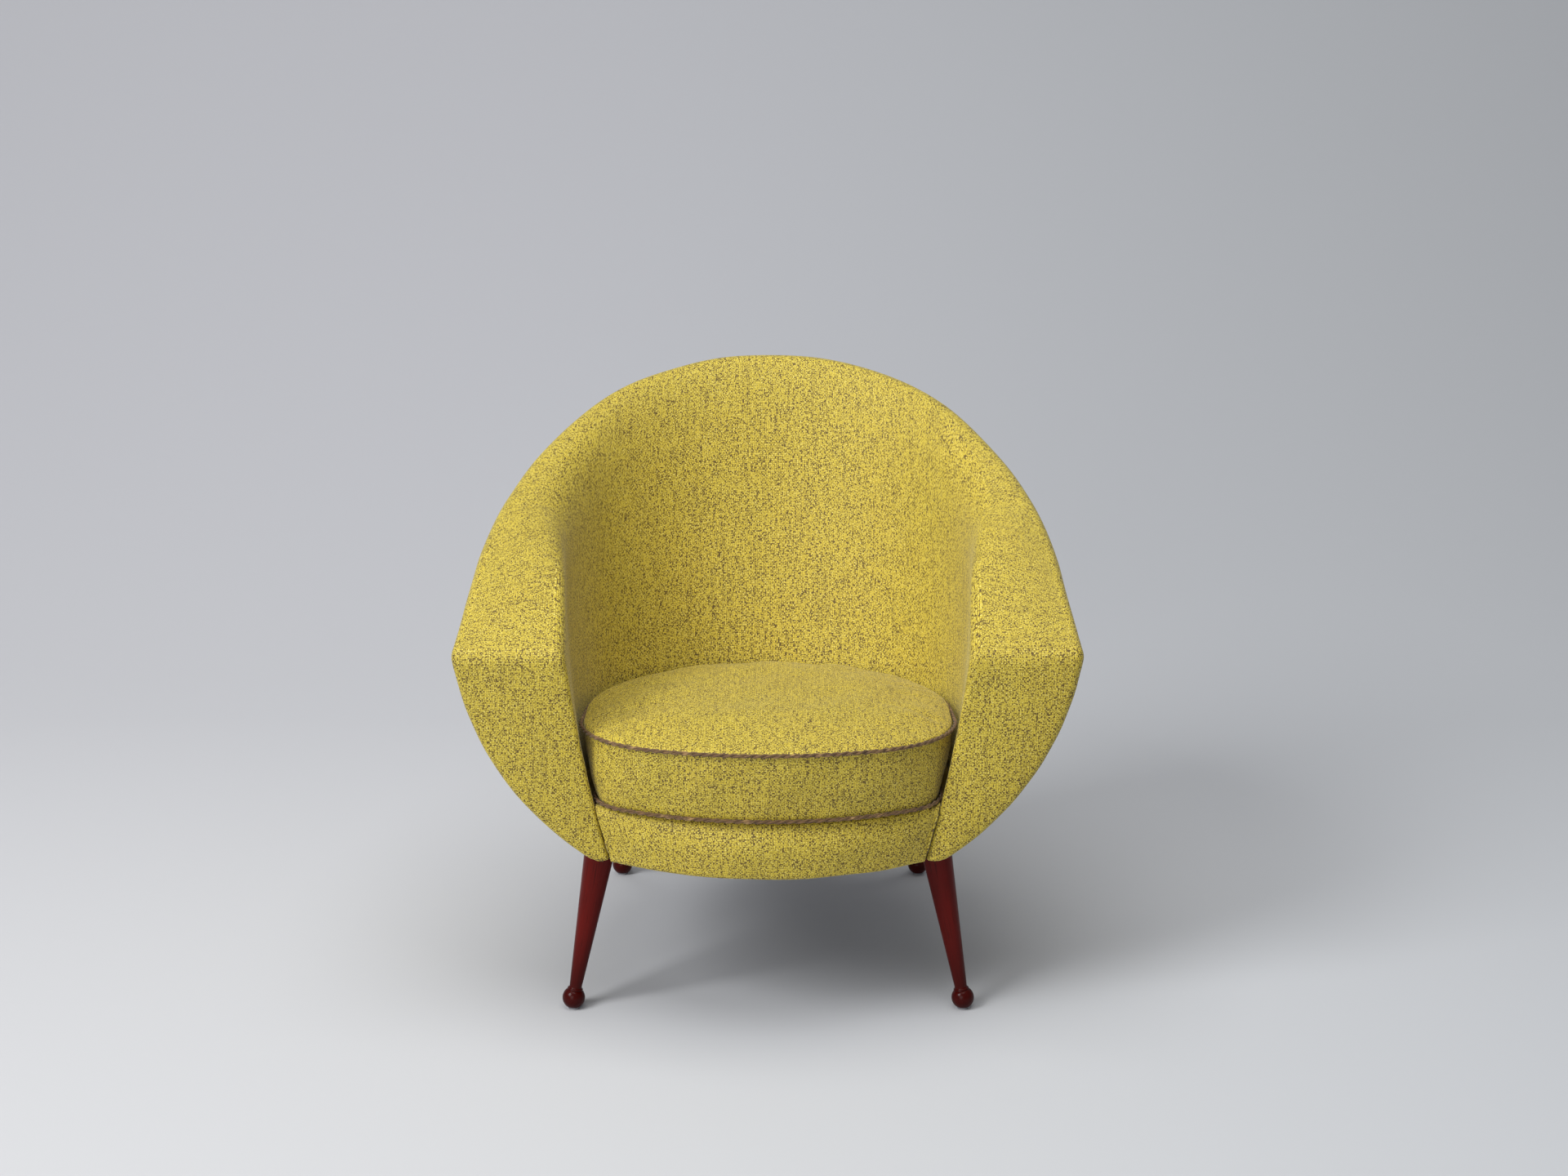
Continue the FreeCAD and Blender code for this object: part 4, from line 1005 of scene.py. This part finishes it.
def cushion_shape(rise, shrink):
    """The cushion before it is filled: rings from the bottom's middle, up the boxing, to the top's middle.

    At a share d of the way in from a seam a panel stands off by rise (1 - exp(-d / w)), the bottom one by
    less, and the boxing swells by b sin(pi q).
    """
    rings = []
    shares = np.concatenate([np.linspace(1, 0.1, 18), [0.05, 0.02]])
    for foot_share, height, order in ((1, -BOTTOM_CROWN * rise, shares), (0, rise, shares[::-1])):
        loop = cushion_loop(foot_share, shrink)
        if foot_share == 0:
            for q in np.linspace(1, 0, 10):
                swell = BOXING_SWELL * math.sin(math.pi * q)
                rings.append(seam_place(cushion_loop(q, shrink - swell), q, 0))
        for d in order:
            lift = height * (1 - math.exp(-d / CROWN_REACH))
            rings.append(seam_place(lerp(loop, CUSHION_MIDDLE, d), foot_share, lift))
    return np.array(rings)


def fill_cushion(piece):
    """Blows the closed cushion up under its own fabric, held at its seams, and keeps the movement small."""
    remesh = piece.modifiers.new("Even faces", "REMESH")
    remesh.mode = "VOXEL"
    remesh.voxel_size = FILL_FACE
    bake_modifiers(piece)
    before = sharp_seams(piece.data)
    top_gap, foot_gap = seam_gaps(before)
    held = np.nonzero(np.linalg.norm(seam_pull(before), axis=1) < SEAM_HOLD)[0]
    piece.vertex_groups.new(name="seams").add(held.tolist(), 1.0, "REPLACE")
    cloth = piece.modifiers.new("Filling", "CLOTH")
    settings = cloth.settings
    settings.quality = 5
    settings.mass = 0.4
    settings.tension_stiffness = 30
    settings.compression_stiffness = 30
    settings.shear_stiffness = 12
    settings.bending_stiffness = 2.0
    settings.use_pressure = True
    settings.uniform_pressure_force = FILL_PRESSURE
    settings.vertex_group_mass = "seams"
    settings.effector_weights.gravity = 0
    cloth.collision_settings.use_collision = False
    cloth.point_cache.frame_start = 1
    cloth.point_cache.frame_end = FILL_STEPS
    scene = bpy.context.scene
    for number in range(1, FILL_STEPS + 1):
        scene.frame_set(number)
    bake_modifiers(piece)
    scene.frame_set(1)
    moved = coordinates(piece.data) - before
    limit = np.where((top_gap < -SEAM_HOLD) & (foot_gap > SEAM_HOLD), BOXING_MOVE, PANEL_MOVE)
    moved *= np.minimum(1, limit / np.maximum(np.linalg.norm(moved, axis=1), 1e-9))[:, None]
    set_coordinates(piece.data, before + moved)


def seam_pull(points):
    """The way from each point to the nearer seam: out to the outline in plan, and up or down to its plane."""
    top_gap, foot_gap = seam_gaps(points)
    gap = np.where(np.abs(top_gap) < np.abs(foot_gap), top_gap, foot_gap)
    outward = points[:, :2] - CUSHION_MIDDLE
    outward /= np.maximum(np.linalg.norm(outward, axis=1, keepdims=True), 1e-9)
    return np.column_stack([outward * (rim_distance(points) - CUSHION_INSET)[:, None], -gap])


def sharp_seams(mesh):
    """Draws the vertices near a seam onto it, by the share exp(-(d / w)^2): even faces had rounded it off."""
    points = coordinates(mesh)
    pull = seam_pull(points)
    points += np.exp(-(np.sum(pull**2, axis=1) / SEAM_DRAW**2))[:, None] * pull
    set_coordinates(mesh, points)
    return points


def seam_gaps(points):
    """How far each point lies above the top seam's plane, and above the bottom seam's."""
    top = SEAM_TOP - points[:, 1] * math.tan(CUSHION_TILT)
    return points[:, 2] - top, points[:, 2] - SEAM_FOOT


def rim_distance(points):
    """How far each point lies in from the outline at its height, in plan, on the ray from the middle."""
    top_gap, foot_gap = seam_gaps(points)
    share = np.clip(-top_gap / (foot_gap - top_gap), 0, 1)
    to = points[:, :2] - CUSHION_MIDDLE
    at = np.arctan2(to[:, 1], to[:, 0])
    edges = []
    for foot_share in (0, 1):
        loop = cushion_loop(foot_share, 0) - CUSHION_MIDDLE
        angle = np.arctan2(loop[:, 1], loop[:, 0])
        edges.append(np.interp(at, angle, np.linalg.norm(loop, axis=1), period=2 * np.pi))
    return lerp(*edges, share) - np.linalg.norm(to, axis=1)


def fabric_places(piece):
    """The cushion's texture places: from above on the panels, and round the outline on the boxing.

    Round the outline they start at the middle of the back, and a face that crosses the start runs on past the
    outline's length.
    """
    mesh = piece.data
    points = coordinates(mesh)
    top_gap, foot_gap = seam_gaps(points)
    closed, travel = closed_travel(cushion_loop(0, 0))
    length = travel[-1]
    back = np.pi / 2
    start = (np.arctan2(*(closed[:-1] - CUSHION_MIDDLE).T[::-1]) - back) % (2 * np.pi)
    at = (np.arctan2(*(points[:, :2] - CUSHION_MIDDLE).T[::-1]) - back) % (2 * np.pi)
    order = np.argsort(start)
    zero = np.interp(0.0, start[order], travel[:-1][order], period=2 * np.pi)
    round_at = np.interp(at, start[order], ((travel[:-1] - zero) % length)[order]) % length
    corners = np.empty(len(mesh.loops), np.int32)
    mesh.loops.foreach_get("vertex_index", corners)
    sizes = np.empty(len(mesh.polygons), np.int32)
    mesh.polygons.foreach_get("loop_total", sizes)
    face = np.repeat(np.arange(len(sizes)), sizes)
    mean_top = np.bincount(face, top_gap[corners]) / sizes
    mean_foot = np.bincount(face, foot_gap[corners]) / sizes
    boxed = ((mean_top < 0) & (mean_foot > 0))[face]
    u = round_at[corners]
    furthest = np.zeros(len(sizes))
    np.maximum.at(furthest, face, u)
    u = np.where(furthest[face] - u > length / 2, u + length, u)
    plan = points[corners]
    places = np.where(boxed[:, None], np.stack([u, plan[:, 2]], axis=1), plan[:, :2])
    layer = mesh.uv_layers.get("UVMap") or mesh.uv_layers.new(name="UVMap")
    layer.data.foreach_set("uv", places.reshape(-1).astype(np.float32))


def cushion_cover(looks, tweed):
    """The loose cushion, blown up under its own fabric and held at its two seams."""
    rings = cushion_shape(looks.cushion_rise, CUSHION_INSET)
    rings = np.concatenate([rings, rings[:, :1]], axis=1)
    no_place = 0.0 * rings[:, :, 0]
    nodes = ("cushion_core", "cushion_top_panel", "cushion_boxing", "cushion_bottom_panel")
    part = grid(rings, no_place, no_place)
    piece = mesh_object("cushion_cover", [part], "cushion", nodes, merge=0.0001)
    face_outwards(piece, fill=True)
    fill_cushion(piece)
    refine = piece.modifiers.new("Refine", "SUBSURF")
    refine.levels = refine.render_levels = 1
    bake_modifiers(piece)
    # A little unevenness, less near the seams
    points = coordinates(piece.data)
    gap = np.min(np.abs(seam_gaps(points)), axis=0)
    near_seam = np.exp(-gap / 0.012) * np.exp(-np.maximum(rim_distance(points), 0) / 0.02)
    move_out(piece.data, unevenness(points, CUSHION_WAVES) * (1 - near_seam))
    fabric_places(piece)
    piece.data.shade_smooth()
    piece.data.materials.append(tweed)


def piping(name, foot_share, node, material, looks):
    """Twisted cord along a seam: strand k turns about the cord's middle by 2 pi (k / strands + s / pitch)."""
    loop = cushion_loop(foot_share, CORD_BITE - looks.cord_radius, 60)
    path = seam_place(loop, foot_share, -CORD_DROP * (1 - foot_share))
    # At the sides and the back the top cord sinks below the crown
    sunk = (1 - foot_share) * np.clip((path[:, 1:2] - SUNK_FROM) / SUNK_OVER, 0, 1)
    path[:, :2] = lerp(path[:, :2], CUSHION_MIDDLE, SUNK_IN * sunk)
    path[:, 2:] -= SUNK_DOWN * sunk
    path, travel = closed_travel(path)
    at = np.linspace(0, travel[-1], 1001)
    centre = np.stack([np.interp(at, travel, path[:, axis]) for axis in range(3)], axis=1)
    ahead = np.roll(centre[:-1], -1, axis=0) - np.roll(centre[:-1], 1, axis=0)
    ahead = np.vstack([ahead, ahead[:1]])
    ahead /= np.linalg.norm(ahead, axis=1, keepdims=True)
    out = np.cross(ahead, [0.0, 0.0, 1.0])
    out /= np.linalg.norm(out, axis=1, keepdims=True)
    rise = np.cross(out, ahead)
    turns = round(travel[-1] / CORD_PITCH)
    strand_radius = looks.cord_radius * STRAND_SHARE
    angle = np.linspace(0, 2 * np.pi, 11)[None, :]
    ring = np.cos(angle)[:, :, None] * out[:, None] + np.sin(angle)[:, :, None] * rise[:, None]
    parts = []
    for strand in range(looks.strands):
        phase = 2 * np.pi * (strand / looks.strands + turns * at / at[-1])[:, None]
        middle = centre + (looks.cord_radius - strand_radius) * (np.cos(phase) * out + np.sin(phase) * rise)
        parts.append(grid(middle[:, None] + strand_radius * ring, at[:, None], strand_radius * angle, True))
    piece = mesh_object(name, parts, "cushion", (node,))
    piece.data.materials.append(material)


def turned_leg(node, material):
    """A turned leg: its profile r(h) carried round the leaning axis, cut level at the top and the foot.

    The profile is the ball, a bead, the ankle, and a straight taper up to the frame.
    """
    side, half_span, reach, side_lean, end_lean = LEGS[node]
    rise_of_ball = math.sqrt(BALL_RADIUS**2 - GLIDE_RADIUS**2)
    centre = np.array([side * half_span, reach, GLIDE_HEIGHT + rise_of_ball])
    axis = np.array([-side * math.tan(math.radians(side_lean)), -math.tan(math.radians(end_lean)), 1.0])
    axis /= np.linalg.norm(axis)
    length = (UNDERSIDE - centre[2]) / axis[2]
    collar = math.sqrt(BALL_RADIUS**2 - COLLAR_RADIUS**2)
    ball = np.radians(np.linspace(-90, 46, 24))
    bead = np.radians(np.linspace(-80, 80, 9))
    slope = (LEG_TOP_RADIUS - ANKLE_RADIUS) / (length - ANKLE_HEIGHT)
    profile = [(BALL_RADIUS * math.cos(a), BALL_RADIUS * math.sin(a)) for a in ball]
    profile += [
        (BEAD_RING + BEAD_RADIUS * math.cos(a), collar + BEAD_RADIUS * (1 + math.sin(a))) for a in bead
    ]
    profile += [(0.0082, collar + 0.0030), (ANKLE_RADIUS, ANKLE_HEIGHT), (0.0081, 0.0180)]
    profile += [(ANKLE_RADIUS + slope * (h - ANKLE_HEIGHT), h) for h in np.linspace(0.022, length, 40)]
    radius, along = np.array(profile).T
    angle = np.linspace(0, 2 * np.pi, 49)
    out = np.cross(axis, [0.0, 1.0, 0.0])
    out /= np.linalg.norm(out)
    rise = np.cross(axis, out)
    ring = np.cos(angle)[:, None] * out + np.sin(angle)[:, None] * rise
    points = centre + along[:, None, None] * axis + radius[:, None, None] * ring[None]
    # Level cuts: the last rings slide along the axis to the underside, and the ball is flat on its glide
    points[-1] += ((UNDERSIDE - points[-1][:, 2]) / axis[2])[:, None] * axis
    points[-2] += (np.minimum(UNDERSIDE - 0.001 - points[-2][:, 2], 0) / axis[2])[:, None] * axis
    points[:, :, 2] = np.maximum(points[:, :, 2], GLIDE_HEIGHT)
    lid = np.broadcast_to(points[-1].mean(axis=0), points[-1:].shape)
    points = np.concatenate([points, lid])
    along = np.append(along, along[-1] + 0.02)[:, None]
    # Each leg takes its grain from a place of its own
    part = grid(points, 0.014 * angle[None, :], along + side * 0.31 + reach, True)
    piece = mesh_object("turned_" + node, [part], "chair", (node,), merge=0.00001)
    face_outwards(piece)
    piece.data.shade_smooth()
    piece.data.materials.append(material)


def seat_deck(material):
    """The cloth over the webbing: lines from side to side between the padded walls, a little uneven."""
    outline = Outline(SPACE, [DECK_TOP - DECK_DROP], [0.0], [-DECK_TUCKED_IN], [0.0], [INNER_ROUND])
    row = outline.half(np.array([[0.22]]), False)[0, EDGE_END:]
    row = row[row[:, 1] > APRON_BACK + 0.001]
    share = np.linspace(-1, 1, 61)[None, :, None]
    points = row[:, None] * np.concatenate([share, 1 + 0 * share, 1 + 0 * share], axis=2)
    points[:, :, 2] -= 0.0003 * (1 + np.sin(points[:, :, 0] * 90) * np.sin(points[:, :, 1] * 70))
    part = grid(points, points[:, :, 0], points[:, :, 1], True)
    piece = mesh_object("seat_deck_cloth", [part], "chair", ("seat_deck_cover",))
    piece.data.materials.append(material)
    thicken(piece, DECK_THICKNESS)


def strap(place, low, high, pitch, first, sign, lengthwise):
    """A strap that passes over and under the others: z = middle + a cos(pi (s - first) / pitch)."""
    along = np.linspace(low, high, 141)[:, None]
    side = np.linspace(-0.5, 0.5, 7)[None, :] * STRAP_WIDTH
    height = STRAP_MIDDLE + sign * STRAP_WAVE * np.cos(np.pi * (along - first) / pitch) + 0 * side
    along, across = np.broadcast_arrays(along, place + side)
    points = np.stack([across, along, height] if lengthwise else [along, across, height], axis=2)
    return grid(points, along, across, not lengthwise)


def webbing(name, straps, node, material):
    """Straps of one direction as one piece."""
    piece = mesh_object(name, straps, "chair", (node,))
    piece.data.materials.append(material)
    thicken(piece, STRAP_THICKNESS, offset=0)


def seat_webbing(material):
    """Five straps from front to back and four from side to side, woven through each other."""
    rows = [CROSS_MIDDLE + (number - 1.5) * CROSS_PITCH for number in range(4)]
    lengthwise = [
        strap((number - 2) * STRAP_PITCH, STRAP_FRONT, end, CROSS_PITCH, rows[0], (-1) ** number, True)
        for number, end in enumerate(STRAP_ENDS)
    ]
    crosswise = [
        strap(row, -CROSS_HALF, CROSS_HALF, STRAP_PITCH, 0, -((-1) ** number), False)
        for number, row in enumerate(rows)
    ]
    webbing("webbing_lengthwise", lengthwise, "seat_webbing_lengthwise", material)
    webbing("webbing_crosswise", crosswise, "seat_webbing_crosswise", material)


def dust_cover(material):
    """The cloth under the frame, with a hole round each leg: lines from side to side in the tub's outline."""
    outline = Outline(SHELL, [UNDERSIDE], [0.0], [DUST_INSET], [DUST_INSET], [EDGE_ROUND])
    edge = outline.half(np.array([[0.1]]), True)[0, CHORD:]
    bow, half = DUST_FRONT_BOW, DUST_FRONT_HALF
    radius = (half**2 + bow**2) / (2 * bow)
    front = np.linspace(0, bow, 14)
    bowed = np.sqrt(np.maximum(radius**2 - (radius - front) ** 2, 1e-8))
    rows = np.concatenate([front - bow, np.linspace(0.0005, edge[-1, 1] - edge[0, 1], 96)]) + edge[0, 1]
    wide = np.concatenate([bowed, np.interp(rows[len(front) :], edge[:, 1], edge[:, 0])])
    share = np.linspace(-1, 1, 97)[None, :]
    x, y = np.broadcast_arrays(wide[:, None] * share, rows[:, None])
    sag = 0.0004 * np.cos(np.pi / 2 * share) * np.sin(np.pi * (y - rows[0]) / (rows[-1] - rows[0]))
    points, quads, places = grid(np.stack([x, y, UNDERSIDE - 0.0001 - sag], axis=2), x, y)
    for side, half_span, reach, side_lean, end_lean in LEGS.values():
        # The leg's middle at the underside, and the points inside its hole drawn out to the hole's edge
        lift = UNDERSIDE - LEG_LEAN_FROM
        lean = np.tan(np.radians([side_lean, end_lean]))
        centre = np.array([side * (half_span - lift * lean[0]), reach - lift * lean[1]])
        away = points[:, :2] - centre
        far = np.linalg.norm(away, axis=1)
        keep = far[quads].mean(axis=1) > LEG_HOLE
        quads, places = quads[keep], places[keep]
        inside = far < LEG_HOLE
        points[inside, :2] = centre + away[inside] * (LEG_HOLE / np.maximum(far[inside], 1e-6))[:, None]
    used = np.unique(quads)
    number = np.zeros(len(points), int)
    number[used] = np.arange(len(used))
    part = (points[used], number[quads], places)
    piece = mesh_object("dust_cover_cloth", [part], "chair", ("dust_cover",))
    piece.data.materials.append(material)
    thicken(piece, DUST_THICKNESS)


def finish_frame(wood, metal):
    """Gives the nodes that no piece replaces their materials: metal for bolts and glides, and wood."""
    for name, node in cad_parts.items():
        if node.hide_render:
            continue
        node.data.materials.clear()
        node.data.materials.append(metal if "bolts" in name or "glides" in name else wood)


def studio(looks):
    """The paper sweep, whose floor bends up into a wall by a quarter circle, the lamps and the camera."""
    angle = np.linspace(0, np.pi / 2, 24)[1:]
    profile = [(-6.0, 0.0), (-3.0, 0.0), (-1.0, 0.0), (SWEEP_START, 0.0)]
    profile += [(SWEEP_START + SWEEP_BEND * math.sin(a), SWEEP_BEND * (1 - math.cos(a))) for a in angle]
    profile = np.array(profile + [(SWEEP_START + SWEEP_BEND, 7.0)])
    x = np.linspace(-6, 6, 13)[None, :]
    points = np.stack(np.broadcast_arrays(x, profile[:, :1], profile[:, 1:]), axis=2)
    vertices, quads, _ = grid(points, points[:, :, 0], points[:, :, 1])
    mesh = bpy.data.meshes.new("paper_sweep")
    mesh.from_pydata(vertices.tolist(), [], quads.tolist())
    mesh.shade_smooth()
    mesh.materials.append(stage_material(looks))
    placed("paper_sweep", mesh)

    for name, place, aim, size, power in LAMPS:
        lamp = bpy.data.lights.new(name, "AREA")
        lamp.shape = "SQUARE"
        lamp.size = size
        lamp.energy = power
        holder = placed(name, lamp)
        holder.location = place
        holder.rotation_euler = (Vector(aim) - Vector(place)).to_track_quat("-Z", "Y").to_euler()

    scene = bpy.context.scene
    world = bpy.data.worlds.new("studio")
    world.use_nodes = True
    background = world.node_tree.nodes["Background"]
    background.inputs[0].default_value = linear(248, 248, 250)
    background.inputs[1].default_value = WORLD_STRENGTH
    scene.world = world

    lens = bpy.data.cameras.new("view")
    lens.lens = CAMERA_LENS
    lens.sensor_width = 36
    lens.clip_end = 50
    camera = placed("view", lens)
    camera.location = CAMERA_PLACE
    camera.rotation_euler = (math.radians(90 - CAMERA_DOWN), 0, 0)
    scene.camera = camera
    scene.view_settings.view_transform = "Standard"


# Operators and their panel


def cover_tweed(looks):
    """The tweed of every cover, made when it is first needed."""
    return bpy.data.materials.get("basket weave tweed") or tweed_material(looks)


class CHAIR_OT_tub_covers(bpy.types.Operator):
    """Covers the tub: the outside cover, and the inside cover with the rim and the arm fronts"""

    bl_idname = "chair.tub_covers"
    bl_label = "Tub covers"

    def execute(self, context):
        looks = context.scene.chair_looks
        tub_covers(looks, cover_tweed(looks))
        return {"FINISHED"}


class CHAIR_OT_apron(bpy.types.Operator):
    """Covers the bowed apron below the cushion"""

    bl_idname = "chair.apron"
    bl_label = "Apron"

    def execute(self, context):
        looks = context.scene.chair_looks
        apron_cover(looks, cover_tweed(looks))
        return {"FINISHED"}


class CHAIR_OT_cushion(bpy.types.Operator):
    """Makes the loose cushion and fills it"""

    bl_idname = "chair.cushion"
    bl_label = "Seat cushion"

    def execute(self, context):
        looks = context.scene.chair_looks
        cushion_cover(looks, cover_tweed(looks))
        return {"FINISHED"}


class CHAIR_OT_piping(bpy.types.Operator):
    """Lays a twisted cord along each of the cushion's two seams"""

    bl_idname = "chair.piping"
    bl_label = "Piping"

    def execute(self, context):
        looks = context.scene.chair_looks
        cord = cord_material(looks)
        piping("top_piping_cord", 0, "cushion_top_piping", cord, looks)
        piping("bottom_piping_cord", 1, "cushion_bottom_piping", cord, looks)
        return {"FINISHED"}


class CHAIR_OT_legs(bpy.types.Operator):
    """Turns the four lacquered legs"""

    bl_idname = "chair.legs"
    bl_label = "Turned legs"

    def execute(self, context):
        lacquer = lacquer_material(context.scene.chair_looks)
        for node in LEGS:
            turned_leg(node, lacquer)
        return {"FINISHED"}


class CHAIR_OT_deck(bpy.types.Operator):
    """Lays the deck cloth over the webbing"""

    bl_idname = "chair.deck"
    bl_label = "Deck cloth"

    def execute(self, context):
        looks = context.scene.chair_looks
        seat_deck(cloth_material("cotton deck cloth", looks.deck_dark, looks.deck, 0.0016))
        return {"FINISHED"}


class CHAIR_OT_webbing(bpy.types.Operator):
    """Weaves the webbing through itself"""

    bl_idname = "chair.webbing"
    bl_label = "Webbing"

    def execute(self, context):
        looks = context.scene.chair_looks
        seat_webbing(cloth_material("jute webbing", looks.jute_dark, looks.jute, 0.0030))
        return {"FINISHED"}


class CHAIR_OT_dust_cover(bpy.types.Operator):
    """Closes the frame from below with the dust cover"""

    bl_idname = "chair.dust_cover"
    bl_label = "Dust cover"

    def execute(self, context):
        looks = context.scene.chair_looks
        dust_cover(cloth_material("black dust cloth", looks.dust_dark, looks.dust, 0.0012))
        return {"FINISHED"}


class CHAIR_OT_frame(bpy.types.Operator):
    """Finishes the hidden frame, its bolts and the glides"""

    bl_idname = "chair.frame"
    bl_label = "Frame"

    def execute(self, context):
        finish_frame(wood_material(context.scene.chair_looks), metal_material())
        return {"FINISHED"}


class CHAIR_OT_studio(bpy.types.Operator):
    """Sets up the paper sweep, the lamps and the camera"""

    bl_idname = "chair.studio"
    bl_label = "Studio"

    def execute(self, context):
        studio(context.scene.chair_looks)
        return {"FINISHED"}


OPERATORS = (
    CHAIR_OT_tub_covers,
    CHAIR_OT_apron,
    CHAIR_OT_cushion,
    CHAIR_OT_piping,
    CHAIR_OT_legs,
    CHAIR_OT_deck,
    CHAIR_OT_webbing,
    CHAIR_OT_dust_cover,
    CHAIR_OT_frame,
    CHAIR_OT_studio,
)


class CHAIR_PT_panel(bpy.types.Panel):
    """Lists the chair's pieces and settings"""

    bl_idname = "CHAIR_PT_panel"
    bl_label = "Tub armchair"
    bl_space_type = "VIEW_3D"
    bl_region_type = "UI"
    bl_category = "Armchair"

    def draw(self, context):
        for operator in OPERATORS:
            self.layout.operator(operator.bl_idname)
        for name in ChairLooks.__annotations__:
            self.layout.prop(context.scene.chair_looks, name)


CLASSES = (ChairLooks, *OPERATORS, CHAIR_PT_panel)


def register():
    """Registers the settings, the operators and the panel."""
    for item in CLASSES:
        bpy.utils.register_class(item)
    bpy.types.Scene.chair_looks = PointerProperty(type=ChairLooks)


def unregister():
    """Takes them out again."""
    del bpy.types.Scene.chair_looks
    for item in reversed(CLASSES):
        bpy.utils.unregister_class(item)


def main():
    """Dresses the chair piece by piece."""
    register()
    bpy.ops.chair.tub_covers()
    bpy.ops.chair.apron()
    bpy.ops.chair.cushion()
    bpy.ops.chair.piping()
    bpy.ops.chair.legs()
    bpy.ops.chair.deck()
    bpy.ops.chair.webbing()
    bpy.ops.chair.dust_cover()
    bpy.ops.chair.frame()
    bpy.ops.chair.studio()


if __name__ == "__main__":
    main()
